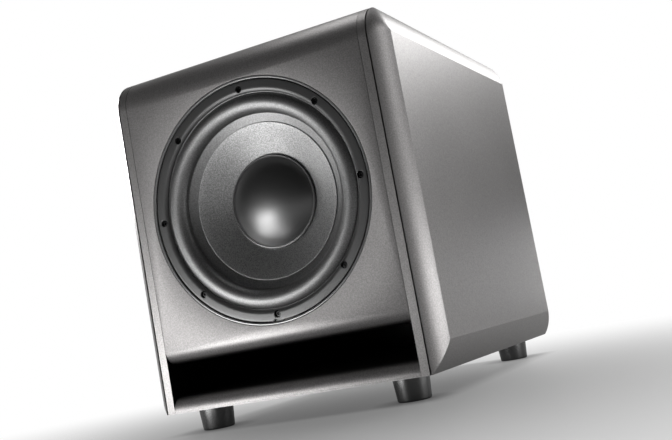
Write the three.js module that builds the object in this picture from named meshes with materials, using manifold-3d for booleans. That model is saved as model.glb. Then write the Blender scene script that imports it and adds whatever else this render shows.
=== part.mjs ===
// A floor-standing powered subwoofer: a ten-inch driver in a slot-ported cabinet on four rubber feet,
// with a plate amplifier in the rear panel. Millimetres, +Z up, the driver faces -Y.
// The origin is on the floor, under the middle of the cabinet.
import * as THREE from "three";
import { mergeVertices } from "three/addons/utils/BufferGeometryUtils.js";
import Module from "manifold-3d";

const wasm = await Module();
wasm.setup();

// ---- Driving dimensions -------------------------------------------------------------------------
const FIT = 0.3; // gap kept between two pieces that touch
const FOOT_HEIGHT = 25;
const FOOT_TOP_RADIUS = 19.6;
const FOOT_BOTTOM_RADIUS = 17.8;
const FOOT_X = 120;
const FOOT_INSET = 40; // from the front and rear of the cabinet to a foot's centre

const CABINET_WIDTH = 351;
const CABINET_DEPTH = 456;
const CABINET_HEIGHT = 382;
const BOX_HALF_WIDTH = 147.8; // to the inner faces of the side panels
const SIDE_THICKNESS = 9;
const GROOVE_WIDTH = 1.7; // shadow line between each side panel and its cheek
const GROOVE_DEPTH = 6;
const CHEEK_BEVEL_Y = 24;
const CHEEK_BEVEL_Z = 31;
const CHEEK_BULGE = 2.2; // how far the bevel swells beyond a straight chamfer
const TOP_ROUNDOVER = 37;
const PANEL = 18;
const BAFFLE_THICKNESS = 25;
const BAFFLE_RETURN = 60; // how far the baffle wraps back over the top
const PORT_TOP = 78;
const PORT_EDGE_RADIUS = 15;
const LIP_RADIUS = 17;
const SHELF_THICKNESS = 16;
const SHELF_END_Y = 110;
const REAR_RECESS = 18;
const BRACE_FRONT_Y = -48;
const BRACE_BACK_Y = -30;
const BRACE_BOTTOM_Z = 330;
const BRACE_TOP_Z = 370;

const DRIVER_Z = 234.5;
const RECESS_RADIUS = 133.5;
const RECESS_DEPTH = 11.5;
const BAFFLE_HOLE_RADIUS = 117;
const FLANGE_RADIUS = 129.5;
const FLANGE_INNER_RADIUS = 116.6;
const FLANGE_FLAT_RADIUS = 121.8; // where the cove ends and the flat face begins
const FLANGE_FACE_DEPTH = 1.5;
const FLANGE_LIP_DEPTH = 5.2;
const FLANGE_BACK_DEPTH = 6.7;
const SCREW_CIRCLE = 122.2;
const SCREW_COUNT = 8;
const SCREW_HOLE_RADIUS = 3.9;
const SCREW_HEAD_RADIUS = 3.3;
const SCREW_HEAD_DEPTH = 4.2;
const SCREW_SHANK_RADIUS = 2;
const SCREW_TIP_DEPTH = 22;
const CONE_RADIUS = 85.4;
const CONE_RIM_DEPTH = 18;
const CONE_SLOPE = 0.585; // depth gained for each millimetre towards the axis
const CONE_THICKNESS = 1.2;
const CAP_RADIUS = 51.8;
const CAP_APEX_DEPTH = 21;
const ROLL_CENTRE = 106.8;
const ROLL_CENTRE_DEPTH = 13.5;
const ROLL_RADIUS = 11.9;
const COIL_RADIUS = 32.8;
const TOP_PLATE_RADIUS = 70;
const TOP_PLATE_DEPTH = 85.2;
const MAGNET_RADIUS = 78;
const MAGNET_FRONT_DEPTH = 93.5;
const MAGNET_BACK_DEPTH = 113.5;
const YOKE_BACK_DEPTH = 122;

const AMP_WIDTH = 230;
const AMP_HEIGHT = 250;
const AMP_Z = 235;
const AMP_PLATE = 3;
const CONTROL_Z = 228;
const POWER_Z = 142;
const AMP_SCREW_INSET = 6;
const AMP_SCREW_RADIUS = 1.7;
const AMP_WINDOW_INSET = 12; // from the plate's edge to the opening behind it
const HEATSINK_HALF_WIDTH = 92;
const HEATSINK_BOTTOM_Z = 264;
const HEATSINK_TOP_Z = 350;
const FIN_COUNT = 15;
const FIN_PITCH = 12.4;
const FIN_HEIGHT = 13;
const KNOB_RADIUS = 9.5;
const KNOB_HEIGHT = 12;
const KNOB_SHAFT_RADIUS = 3;

// ---- Values worked out from them -----------------------------------------------------------------
const FRONT_Y = -CABINET_DEPTH / 2;
const REAR_Y = CABINET_DEPTH / 2;
const BOTTOM_Z = FOOT_HEIGHT;
const TOP_Z = FOOT_HEIGHT + CABINET_HEIGHT;
const FLOOR_TOP = BOTTOM_Z + PANEL + 0.5;
const SIDE_OUTER_X = BOX_HALF_WIDTH + SIDE_THICKNESS;
const CHEEK_EDGE_X = SIDE_OUTER_X + GROOVE_WIDTH;
const BOARD_HALF = BOX_HALF_WIDTH - FIT; // half width of a board between the side panels
const REAR_FACE_Y = REAR_Y - REAR_RECESS;
const PLATE_IN_Y = REAR_FACE_Y + FIT;
const PLATE_OUT_Y = PLATE_IN_Y + AMP_PLATE;
const FOOT_Y = REAR_Y - FOOT_INSET;

// ---- Looks -----------------------------------------------------------------------------------------
const material = (color, roughness, metalness = 0) =>
  new THREE.MeshStandardMaterial({ color, roughness, metalness });
const looks = {
  paint: () => material(0x77767a, 0.42, 0.45),
  board: () => material(0x1b1a19, 0.9),
  blackPlastic: () => material(0x191919, 0.45),
  satinPlastic: () => material(0x3c3c3f, 0.35),
  rubber: () => material(0x111111, 0.6),
  cone: () => material(0x8a8a8c, 0.4, 0.6),
  cap: () => material(0x2b2c2e, 0.28, 0.3),
  steel: () => material(0xa9abad, 0.35, 1),
  castMetal: () => material(0x26272a, 0.55, 0.6),
  ferrite: () => material(0x2f2f31, 0.8),
  copper: () => material(0xa2602f, 0.4, 1),
  cloth: () => material(0xb08a45, 0.9),
  circuit: () => material(0x14532f, 0.6),
  anodised: () => material(0x15161a, 0.45, 0.7),
  lens: () => material(0x2a5fd0, 0.2),
};

const group = new THREE.Group();

// ---- Solids ------------------------------------------------------------------------------------------
const toManifold = (geometry) => {
  const bare = geometry.clone();
  bare.deleteAttribute("normal");
  bare.deleteAttribute("uv");
  const merged = mergeVertices(bare, 1e-4);
  const index = merged.index.array;
  const triangles = [];
  for (let i = 0; i < index.length; i += 3) {
    const [a, b, c] = [index[i], index[i + 1], index[i + 2]];
    if (a !== b && b !== c && c !== a) triangles.push(a, b, c);
  }
  const vertProperties = Float32Array.from(merged.attributes.position.array);
  const build = (triVerts) => new wasm.Manifold(new wasm.Mesh({ numProp: 3, vertProperties, triVerts }));
  const solid = build(Uint32Array.from(triangles));
  if (solid.volume() >= 0) return solid;
  for (let i = 0; i < triangles.length; i += 3) {
    [triangles[i + 1], triangles[i + 2]] = [triangles[i + 2], triangles[i + 1]];
  }
  return build(Uint32Array.from(triangles));
};

const toGeometry = (solid) => {
  const { vertProperties, triVerts } = solid.getMesh();
  const geometry = new THREE.BufferGeometry();
  geometry.setAttribute("position", new THREE.BufferAttribute(vertProperties, 3));
  geometry.setIndex(new THREE.BufferAttribute(triVerts, 1));
  geometry.computeVertexNormals();
  return geometry;
};

const join = (...solids) => solids.reduce((sum, next) => sum.add(next));
const cut = (solid, ...tools) => tools.reduce((left, tool) => left.subtract(tool), solid);

const addPart = (name, solid, look) => {
  const mesh = new THREE.Mesh(toGeometry(solid), look());
  mesh.name = name;
  group.add(mesh);
};

const box = (x0, x1, y0, y1, z0, z1) => {
  const geometry = new THREE.BoxGeometry(x1 - x0, y1 - y0, z1 - z0);
  geometry.translate((x0 + x1) / 2, (y0 + y1) / 2, (z0 + z1) / 2);
  return toManifold(geometry);
};

// A closed outline of [y, z] points or a Shape in the YZ plane, extruded from x0 to x1.
const extrudeX = (shape, x0, x1) => {
  const settings = { depth: x1 - x0, bevelEnabled: false, curveSegments: 10 };
  const geometry = new THREE.ExtrudeGeometry(shape, settings);
  const axes = [new THREE.Vector3(0, 1, 0), new THREE.Vector3(0, 0, 1), new THREE.Vector3(1, 0, 0)];
  geometry.applyMatrix4(new THREE.Matrix4().makeBasis(...axes));
  geometry.translate(x0, 0, 0);
  return toManifold(geometry);
};

// A Shape in the XZ plane, extruded from y0 to y1.
const extrudeY = (shape, y0, y1, curveSegments = 6) => {
  const geometry = new THREE.ExtrudeGeometry(shape, { depth: y1 - y0, bevelEnabled: false, curveSegments });
  const axes = [new THREE.Vector3(1, 0, 0), new THREE.Vector3(0, 0, 1), new THREE.Vector3(0, -1, 0)];
  geometry.applyMatrix4(new THREE.Matrix4().makeBasis(...axes));
  geometry.translate(0, y1, 0);
  return toManifold(geometry);
};

// A closed profile of [radius, y] points, turned about an axis along Y through (x, z).
const turnedY = (profile, segments, x, z) => {
  const points = profile.map(([radius, y]) => new THREE.Vector2(radius, y));
  if (profile[0][0] > 0) points.push(points[0].clone());
  const geometry = new THREE.LatheGeometry(points, segments);
  geometry.translate(x, 0, z);
  return toManifold(geometry);
};

// A closed profile of [radius, z] points, turned about a vertical axis through (x, y).
const turnedZ = (profile, segments, x, y) => {
  const points = profile.map(([radius, z]) => new THREE.Vector2(radius, z));
  if (profile[0][0] > 0) points.push(points[0].clone());
  const geometry = new THREE.LatheGeometry(points, segments);
  geometry.rotateX(Math.PI / 2);
  geometry.translate(x, y, 0);
  return toManifold(geometry);
};

const rodY = (radius, y0, y1, x, z, segments = 16) =>
  turnedY([[0, y0], [radius, y0], [radius, y1], [0, y1]], segments, x, z);
const rodZ = (radius, z0, z1, x, y, segments = 16) =>
  turnedZ([[0, z0], [radius, z0], [radius, z1], [0, z1]], segments, x, y);

// A round wire along a smooth curve through the points.
const wireAlong = (points, radius, steps) => {
  const path = new THREE.CatmullRomCurve3(points.map((p) => new THREE.Vector3(...p)));
  const section = new THREE.Shape();
  section.absarc(0, 0, radius, 0, 2 * Math.PI);
  return toManifold(new THREE.ExtrudeGeometry(section, { steps, extrudePath: path, curveSegments: 3 }));
};

const roundedRectangle = (x0, x1, z0, z1, radius) => {
  const shape = new THREE.Shape();
  shape.moveTo(x0 + radius, z0);
  shape.lineTo(x1 - radius, z0);
  shape.absarc(x1 - radius, z0 + radius, radius, -Math.PI / 2, 0);
  shape.lineTo(x1, z1 - radius);
  shape.absarc(x1 - radius, z1 - radius, radius, 0, Math.PI / 2);
  shape.lineTo(x0 + radius, z1);
  shape.absarc(x0 + radius, z1 - radius, radius, Math.PI / 2, Math.PI);
  shape.lineTo(x0, z0 + radius);
  shape.absarc(x0 + radius, z0 + radius, radius, Math.PI, 1.5 * Math.PI);
  return shape;
};

const screwAngle = (i) => Math.PI / 2 - (i * 2 * Math.PI) / SCREW_COUNT;
const aroundDriver = (radius, angle) => [radius * Math.cos(angle), DRIVER_Z + radius * Math.sin(angle)];
const driverTurned = (profile, segments = 48) =>
  turnedY(profile.map(([radius, depth]) => [radius, FRONT_Y + depth]), segments, 0, DRIVER_Z);
const driverRod = (radius, depth0, depth1, angle, segments = 12) =>
  rodY(radius, FRONT_Y + depth0, FRONT_Y + depth1, ...aroundDriver(SCREW_CIRCLE, angle), segments);
const screwRods = (radius, depth0, depth1, segments) =>
  Array.from({ length: SCREW_COUNT }, (_, i) => driverRod(radius, depth0, depth1, screwAngle(i), segments));

// ---- Cabinet -------------------------------------------------------------------------------------------
const addBaffle = () => {
  const inner = TOP_ROUNDOVER - PANEL;
  const section = new THREE.Shape();
  section.moveTo(FRONT_Y + BAFFLE_THICKNESS, PORT_TOP);
  section.lineTo(FRONT_Y + BAFFLE_THICKNESS, TOP_Z - TOP_ROUNDOVER);
  section.lineTo(FRONT_Y + BAFFLE_THICKNESS + inner, TOP_Z - PANEL);
  section.lineTo(FRONT_Y + BAFFLE_RETURN, TOP_Z - PANEL);
  section.lineTo(FRONT_Y + BAFFLE_RETURN, TOP_Z);
  section.lineTo(FRONT_Y + TOP_ROUNDOVER, TOP_Z);
  section.absarc(FRONT_Y + TOP_ROUNDOVER, TOP_Z - TOP_ROUNDOVER, TOP_ROUNDOVER, Math.PI / 2, Math.PI);
  section.lineTo(FRONT_Y, PORT_TOP + PORT_EDGE_RADIUS);
  section.absarc(
    FRONT_Y + PORT_EDGE_RADIUS, PORT_TOP + PORT_EDGE_RADIUS, PORT_EDGE_RADIUS, Math.PI, 1.5 * Math.PI,
  );
  const slab = extrudeX(section, -BOARD_HALF, BOARD_HALF);
  const recess = driverTurned([
    [0, -5], [RECESS_RADIUS, -5], [RECESS_RADIUS, RECESS_DEPTH], [0, RECESS_DEPTH],
  ]);
  const hole = driverTurned([[0, 5], [BAFFLE_HOLE_RADIUS, 5], [BAFFLE_HOLE_RADIUS, 40], [0, 40]]);
  const pilots = screwRods(SCREW_SHANK_RADIUS + FIT, RECESS_DEPTH - 1, SCREW_TIP_DEPTH + 1, 6);
  addPart("front_baffle", cut(slab, recess, hole, ...pilots), looks.paint);
};

const addSidePanels = () => {
  const outline = new THREE.Shape();
  outline.moveTo(FRONT_Y, BOTTOM_Z);
  outline.lineTo(REAR_Y, BOTTOM_Z);
  outline.lineTo(REAR_Y, TOP_Z);
  outline.lineTo(FRONT_Y + TOP_ROUNDOVER, TOP_Z);
  outline.absarc(FRONT_Y + TOP_ROUNDOVER, TOP_Z - TOP_ROUNDOVER, TOP_ROUNDOVER, Math.PI / 2, Math.PI);
  addPart("side_panel_left", extrudeX(outline, -SIDE_OUTER_X, -BOX_HALF_WIDTH), looks.paint);
  addPart("side_panel_right", extrudeX(outline, BOX_HALF_WIDTH, SIDE_OUTER_X), looks.paint);
};

// One ring of [y, z] points of a cheek: the cabinet's side outline, moved in by insetY and insetZ.
const cheekRing = (insetY, insetZ, radius) => {
  const [y0, y1] = [FRONT_Y + insetY, REAR_Y - insetY];
  const [z0, z1] = [BOTTOM_Z + insetZ, TOP_Z - insetZ];
  const ring = [[y0, z0], [y1, z0], [y1, z1]];
  const steps = 8;
  for (let i = 0; i <= steps; i++) {
    const angle = Math.PI / 2 + (i * Math.PI) / 2 / steps;
    ring.push([y0 + radius + radius * Math.cos(angle), z1 - radius + radius * Math.sin(angle)]);
  }
  return ring;
};

// A cheek's rings from its inner face out: the glued face, the groove's step, and the swelling bevel.
const cheekRings = () => {
  const outerX = CABINET_WIDTH / 2;
  const step = cheekRing(GROOVE_DEPTH, GROOVE_DEPTH, TOP_ROUNDOVER - GROOVE_DEPTH);
  const rings = [
    { x: SIDE_OUTER_X + FIT, ring: step },
    { x: CHEEK_EDGE_X, ring: step },
  ];
  const rise = outerX - CHEEK_EDGE_X;
  const chord = Math.hypot(CHEEK_BEVEL_Y, rise);
  const levels = 6;
  for (let i = 0; i <= levels; i++) {
    const t = i / levels;
    const swell = 4 * CHEEK_BULGE * t * (1 - t);
    const share = t - (swell * rise) / chord / CHEEK_BEVEL_Y;
    const x = CHEEK_EDGE_X + rise * t + (swell * CHEEK_BEVEL_Y) / chord;
    const ring = cheekRing(share * CHEEK_BEVEL_Y, share * CHEEK_BEVEL_Z, TOP_ROUNDOVER * (1 - t));
    rings.push({ x, ring });
  }
  return rings;
};

const addCheek = (name, side) => {
  const rings = cheekRings();
  const count = rings[0].ring.length;
  const positions = [];
  const at = (level, i) => [side * rings[level].x, ...rings[level].ring[(i + count) % count]];
  const triangle = (a, b, c) => positions.push(...a, ...b, ...c);
  for (let level = 0; level + 1 < rings.length; level++) {
    for (let i = 0; i < count; i++) {
      triangle(at(level, i), at(level, i + 1), at(level + 1, i + 1));
      triangle(at(level, i), at(level + 1, i + 1), at(level + 1, i));
    }
  }
  const last = rings.length - 1;
  for (let i = 1; i + 1 < count; i++) {
    triangle(at(0, 0), at(0, i + 1), at(0, i));
    triangle(at(last, 0), at(last, i), at(last, i + 1));
  }
  const geometry = new THREE.BufferGeometry();
  geometry.setAttribute("position", new THREE.Float32BufferAttribute(positions, 3));
  addPart(name, toManifold(geometry), looks.paint);
};

const addBoards = () => {
  const lip = new THREE.Shape();
  lip.moveTo(FRONT_Y, BOTTOM_Z);
  lip.lineTo(REAR_Y, BOTTOM_Z);
  lip.lineTo(REAR_Y, FLOOR_TOP);
  lip.lineTo(FRONT_Y + LIP_RADIUS, FLOOR_TOP);
  lip.absarc(FRONT_Y + LIP_RADIUS, FLOOR_TOP - LIP_RADIUS, LIP_RADIUS, Math.PI / 2, Math.PI);
  const floor = extrudeX(lip, -BOARD_HALF, BOARD_HALF);
  const pilots = footPlaces.map(([, x, y]) => rodZ(2 + FIT, BOTTOM_Z - 1, BOTTOM_Z + 14, x, y, 8));
  addPart("bottom_panel", cut(floor, ...pilots), looks.paint);

  const topFront = FRONT_Y + BAFFLE_RETURN + FIT;
  addPart("top_panel", box(-BOARD_HALF, BOARD_HALF, topFront, REAR_Y, TOP_Z - PANEL, TOP_Z), looks.paint);

  const shelfFront = FRONT_Y + BAFFLE_THICKNESS + FIT;
  const shelf = box(-BOARD_HALF, BOARD_HALF, shelfFront, SHELF_END_Y, PORT_TOP, PORT_TOP + SHELF_THICKNESS);
  addPart("port_shelf", shelf, looks.board);

  const rearTop = TOP_Z - PANEL - FIT;
  const rear = box(-BOARD_HALF, BOARD_HALF, REAR_FACE_Y - PANEL, REAR_FACE_Y, FLOOR_TOP + FIT, rearTop);
  const halfWide = AMP_WIDTH / 2 - AMP_WINDOW_INSET;
  const halfHigh = AMP_HEIGHT / 2 - AMP_WINDOW_INSET;
  const window = box(
    -halfWide, halfWide, REAR_FACE_Y - 30, REAR_FACE_Y + 5, AMP_Z - halfHigh, AMP_Z + halfHigh,
  );
  const pilotsRear = ampCorners.map(([, x, z]) =>
    rodY(AMP_SCREW_RADIUS + FIT, REAR_FACE_Y - 14, REAR_FACE_Y + 1, x, z, 8));
  addPart("rear_panel", cut(rear, window, ...pilotsRear), looks.paint);

  const brace = box(-BOARD_HALF, BOARD_HALF, BRACE_FRONT_Y, BRACE_BACK_Y, BRACE_BOTTOM_Z, BRACE_TOP_Z);
  addPart("cross_brace", brace, looks.board);
};

// ---- Feet --------------------------------------------------------------------------------------------
const footPlaces = [
  ["front_left", -FOOT_X, -FOOT_Y],
  ["front_right", FOOT_X, -FOOT_Y],
  ["rear_left", -FOOT_X, FOOT_Y],
  ["rear_right", FOOT_X, FOOT_Y],
];

const addFeet = () => {
  const top = BOTTOM_Z - FIT;
  for (const [place, x, y] of footPlaces) {
    const profile = [
      [2 + FIT, 10], [7, 10], [7, 0], [FOOT_BOTTOM_RADIUS - 3, 0], [FOOT_BOTTOM_RADIUS - 0.9, 0.9],
      [FOOT_BOTTOM_RADIUS, 3], [FOOT_TOP_RADIUS, top], [2 + FIT, top],
    ];
    addPart(`foot_${place}`, turnedZ(profile, 18, x, y), looks.rubber);
    const screw = join(rodZ(5.5, 6.5, 10 - FIT, x, y, 10), rodZ(2, 9, BOTTOM_Z + 13, x, y, 6));
    addPart(`foot_screw_${place}`, screw, looks.steel);
  }
};

// ---- Driver ------------------------------------------------------------------------------------------
const addRings = () => {
  const trimIn = FLANGE_RADIUS + 1.1;
  const trimOut = RECESS_RADIUS - FIT;
  const trimBack = RECESS_DEPTH - FIT;
  const trim = [
    [trimIn, 0.9], [trimIn + 0.6, 0.3], [trimOut - 0.4, 0.3], [trimOut, 0.7],
    [trimOut, trimBack], [trimIn, trimBack],
  ];
  addPart("baffle_trim_ring", driverTurned(trim), looks.satinPlastic);

  const lipRadius = FLANGE_INNER_RADIUS + 1.5;
  const ring = [
    [lipRadius, FLANGE_BACK_DEPTH], [lipRadius, FLANGE_LIP_DEPTH], [FLANGE_INNER_RADIUS, FLANGE_LIP_DEPTH],
  ];
  const coveDepth = 3.3;
  const steps = 4;
  for (let i = 0; i <= steps; i++) {
    const angle = (i * Math.PI) / 2 / steps;
    const radius = FLANGE_FLAT_RADIUS - (FLANGE_FLAT_RADIUS - FLANGE_INNER_RADIUS) * Math.cos(angle);
    ring.push([radius, FLANGE_FACE_DEPTH + coveDepth * (1 - Math.sin(angle))]);
  }
  ring.push(
    [FLANGE_RADIUS - 0.6, FLANGE_FACE_DEPTH], [FLANGE_RADIUS, FLANGE_FACE_DEPTH + 0.6],
    [FLANGE_RADIUS, FLANGE_BACK_DEPTH],
  );
  const holes = screwRods(SCREW_HOLE_RADIUS, -1, 8, 10);
  const [notchX, notchZ] = aroundDriver(FLANGE_RADIUS, -Math.PI / 2);
  const notch = box(notchX - 5, notchX + 5, FRONT_Y, FRONT_Y + 4.5, notchZ - 2, notchZ + 2.2);
  addPart("flange_ring", cut(driverTurned(ring), notch, ...holes), looks.satinPlastic);

  const gasket = driverTurned([[119, 9.5], [128.5, 9.5], [128.5, 11.2], [119, 11.2]], 24);
  addPart("driver_gasket", cut(gasket, ...screwRods(2.4, 9, 12, 6)), looks.rubber);
};

const addDriverScrews = () => {
  for (let i = 0; i < SCREW_COUNT; i++) {
    const angle = screwAngle(i);
    const head = driverRod(SCREW_HEAD_RADIUS, SCREW_HEAD_DEPTH, FLANGE_BACK_DEPTH, angle, 10);
    const shank = driverRod(SCREW_SHANK_RADIUS, FLANGE_BACK_DEPTH - 0.7, SCREW_TIP_DEPTH, angle, 6);
    const socket = driverRod(1.6, SCREW_HEAD_DEPTH - 1.2, SCREW_HEAD_DEPTH + 1.6, angle, 6);
    addPart(`driver_screw_${i + 1}`, cut(join(head, shank), socket), looks.anodised);
  }
};

const addBasket = () => {
  const shell = driverTurned([
    [108, 7], [129.6, 7], [129.6, 9.2], [114.5, 9.2], [112.5, 30], [80, 74], [80, 84.9],
    [38, 84.9], [38, 81.9], [62, 81.9], [62, 71], [76.5, 71], [109, 29],
  ], 30);
  const windows = Array.from({ length: 6 }, (_, i) => {
    const geometry = new THREE.BoxGeometry(80, 33, 70);
    geometry.translate(100, FRONT_Y + 49.5, 0);
    geometry.rotateY(((i + 0.5) * Math.PI) / 3);
    geometry.translate(0, 0, DRIVER_Z);
    return toManifold(geometry);
  });
  const pilots = screwRods(SCREW_SHANK_RADIUS + FIT, 6, 12, 6);
  addPart("basket", cut(shell, ...windows, ...pilots), looks.castMetal);
};

const coneDepth = (radius) => CONE_RIM_DEPTH + (CONE_RADIUS - radius) * CONE_SLOPE;

// The inner lip is glued behind the cone's edge and follows its slope. The roll is an arc of a circle
// that rises from the lip, and its outer lip is clamped between the basket and the flange ring.
const addSurround = () => {
  const lipGap = CONE_THICKNESS + FIT;
  const lipThickness = 1;
  const lipInner = CONE_RADIUS - 6.4;
  const valley = ROLL_CENTRE - ROLL_RADIUS;
  const clampRadius = 117.8;
  const rollPoint = (degrees, inset) => {
    const angle = (degrees * Math.PI) / 180;
    const radius = ROLL_RADIUS - inset;
    return [ROLL_CENTRE + radius * Math.cos(angle), ROLL_CENTRE_DEPTH - radius * Math.sin(angle)];
  };
  const front = [172, 150, 128, 106, 84, 62, 40].map((degrees) => rollPoint(degrees, 0));
  const back = [50, 76, 102, 128, 154].map((degrees) => rollPoint(degrees, 1.2));
  const profile = [
    [lipInner, coneDepth(lipInner) + lipGap], [valley, coneDepth(valley) + lipGap], ...front,
    [clampRadius, 5.5], [clampRadius, FLANGE_BACK_DEPTH], [113.6, FLANGE_BACK_DEPTH], ...back,
    [valley + 1, coneDepth(valley + 1) + lipGap + lipThickness],
    [lipInner, coneDepth(lipInner) + lipGap + lipThickness],
  ];
  addPart("surround", driverTurned(profile, 36), looks.rubber);
};

const addCone = () => {
  const neck = COIL_RADIUS + FIT + 0.1;
  const chamfer = 0.4;
  const profile = [
    [neck, coneDepth(neck)], [CONE_RADIUS - chamfer, coneDepth(CONE_RADIUS - chamfer)],
    [CONE_RADIUS, coneDepth(CONE_RADIUS) + chamfer],
    [CONE_RADIUS, coneDepth(CONE_RADIUS) + CONE_THICKNESS],
    [neck, coneDepth(neck) + CONE_THICKNESS],
  ];
  addPart("cone", driverTurned(profile, 36), looks.cone);
};

const addDustCap = () => {
  const domeRadius = CAP_RADIUS - 2.4;
  const rise = coneDepth(CAP_RADIUS) - 2 - CAP_APEX_DEPTH;
  const dome = (share, inset) => {
    const radius = domeRadius * share;
    return [radius, CAP_APEX_DEPTH + inset + rise * (1 - Math.sqrt(1 - 0.75 * share * share)) * 2];
  };
  const shares = Array.from({ length: 5 }, (_, i) => i / 4);
  const profile = [
    ...shares.map((share) => dome(share, 0)),
    [domeRadius + 0.6, coneDepth(CAP_RADIUS) - 2.8],
    [CAP_RADIUS, coneDepth(CAP_RADIUS) - 2.2],
    [CAP_RADIUS, coneDepth(CAP_RADIUS) - 0.45],
    [domeRadius - 1, coneDepth(domeRadius - 1) - 0.45],
    ...shares.slice(0, -1).reverse().map((share) => dome(share, 1.2)),
  ];
  addPart("dust_cap", driverTurned(profile, 24), looks.cap);
};

const addMotor = () => {
  const former = [[32.2, 46], [COIL_RADIUS, 46], [COIL_RADIUS, 100], [32.2, 100]];
  addPart("coil_former", driverTurned(former, 24), looks.anodised);
  addPart("voice_coil", driverTurned([[33.1, 80], [34.6, 80], [34.6, 98], [33.1, 98]], 24), looks.copper);

  const waves = 1.5;
  const steps = 6;
  const spiderPoint = (i, inset) => {
    const share = i / steps;
    const depth = 69.2 - 1.6 * Math.sin(2 * Math.PI * waves * share);
    return [37 + 28 * share, depth + inset];
  };
  const along = Array.from({ length: steps + 1 }, (_, i) => i);
  const spider = [
    [33.2, 69.2], ...along.map((i) => spiderPoint(i, 0)), [75, 69.8], [75, 70.7],
    ...along.slice().reverse().map((i) => spiderPoint(i, 0.9)), [33.2, 70.1],
  ];
  addPart("spider", driverTurned(spider, 24), looks.cloth);

  const gapRadius = 35.2;
  const plateBack = MAGNET_FRONT_DEPTH - FIT;
  const topPlate = [
    [gapRadius, TOP_PLATE_DEPTH], [TOP_PLATE_RADIUS, TOP_PLATE_DEPTH],
    [TOP_PLATE_RADIUS, plateBack], [gapRadius, plateBack],
  ];
  addPart("top_plate", driverTurned(topPlate, 24), looks.steel);

  const magnet = [
    [45, MAGNET_FRONT_DEPTH], [MAGNET_RADIUS - 2, MAGNET_FRONT_DEPTH],
    [MAGNET_RADIUS, MAGNET_FRONT_DEPTH + 2], [MAGNET_RADIUS, MAGNET_BACK_DEPTH - 2],
    [MAGNET_RADIUS - 2, MAGNET_BACK_DEPTH], [45, MAGNET_BACK_DEPTH],
  ];
  addPart("magnet", driverTurned(magnet, 24), looks.ferrite);

  const poleRadius = 31;
  const ventRadius = 10;
  const poleTop = 86;
  const yokeFront = MAGNET_BACK_DEPTH + FIT;
  const yoke = [
    [ventRadius, poleTop], [poleRadius - 2, poleTop], [poleRadius, poleTop + 2], [poleRadius, yokeFront],
    [TOP_PLATE_RADIUS, yokeFront], [TOP_PLATE_RADIUS, YOKE_BACK_DEPTH - 2],
    [TOP_PLATE_RADIUS - 2, YOKE_BACK_DEPTH], [ventRadius, YOKE_BACK_DEPTH],
  ];
  addPart("back_yoke", driverTurned(yoke, 24), looks.steel);
};

const TERMINAL_ANGLE = 0; // on the spoke that points to +X
const TERMINAL_RADIUS = 101.5;

const addTerminal = () => {
  const [x, z] = aroundDriver(TERMINAL_RADIUS, TERMINAL_ANGLE);
  const block = box(x, x + 6, FRONT_Y + 46, FRONT_Y + 58, z - 10, z + 10);
  const tabs = [-6, 6].map((dz) => box(x + 2, x + 3, FRONT_Y + 57, FRONT_Y + 64, z + dz - 2, z + dz + 2));
  addPart("terminal_strip", join(block, ...tabs), looks.blackPlastic);
};

// ---- Amplifier ----------------------------------------------------------------------------------------
const AMP_SCREW_X = AMP_WIDTH / 2 - AMP_SCREW_INSET;
const AMP_SCREW_Z = AMP_HEIGHT / 2 - AMP_SCREW_INSET;
const ampCorners = [
  ["1", -AMP_SCREW_X, AMP_Z - AMP_SCREW_Z],
  ["2", AMP_SCREW_X, AMP_Z - AMP_SCREW_Z],
  ["3", -AMP_SCREW_X, AMP_Z + AMP_SCREW_Z],
  ["4", AMP_SCREW_X, AMP_Z + AMP_SCREW_Z],
];
const KNOBS = [["level_knob", 70], ["crossover_knob", 20]];
const SLIDERS = [["phase_slider", -28], ["mode_slider", -68]];
const JACKS = [["rca_jack_left", 84], ["rca_jack_right", 58]];
const JACK_Z = 172;
const LED_X = -96;
const INLET_X = -70;
const SWITCH_X = -16;
const SLIDER_TRAVEL = 5;
const SLIDER_WIDTH = 4;
const ROCKER_TILT = (7 * Math.PI) / 180;

const addAmpPlate = () => {
  const outline = roundedRectangle(
    -AMP_WIDTH / 2, AMP_WIDTH / 2, AMP_Z - AMP_HEIGHT / 2, AMP_Z + AMP_HEIGHT / 2, 5,
  );
  const through = (x0, x1, z0, z1) => box(x0, x1, PLATE_IN_Y - 1, PLATE_OUT_Y + 1, z0, z1);
  const drill = (radius, x, z) => rodY(radius, PLATE_IN_Y - 1, PLATE_OUT_Y + 1, x, z, 12);
  const plate = cut(
    extrudeY(outline, PLATE_IN_Y, PLATE_OUT_Y),
    ...ampCorners.map(([, x, z]) => drill(2.1, x, z)),
    ...KNOBS.map(([, x]) => drill(3.6, x, CONTROL_Z)),
    ...SLIDERS.map(([, x]) => through(x - 5, x + 5, CONTROL_Z - 2, CONTROL_Z + 2)),
    ...JACKS.map(([, x]) => drill(4.6, x, JACK_Z)),
    drill(2.8, LED_X, CONTROL_Z),
    through(INLET_X - 14.3, INLET_X + 14.3, POWER_Z - 10.5, POWER_Z + 10.5),
    through(SWITCH_X - 8.8, SWITCH_X + 8.8, POWER_Z - 13.3, POWER_Z + 13.3),
  );
  addPart("amp_plate", plate, looks.anodised);
  for (const [number, x, z] of ampCorners) {
    const head = turnedY([
      [0, PLATE_OUT_Y + FIT], [3.4, PLATE_OUT_Y + FIT], [3, PLATE_OUT_Y + 1.8], [0, PLATE_OUT_Y + 2.3],
    ], 10, x, z);
    const shank = rodY(AMP_SCREW_RADIUS, REAR_FACE_Y - 13, PLATE_OUT_Y + 1, x, z, 6);
    addPart(`amp_screw_${number}`, join(head, shank), looks.steel);
  }
};

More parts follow.
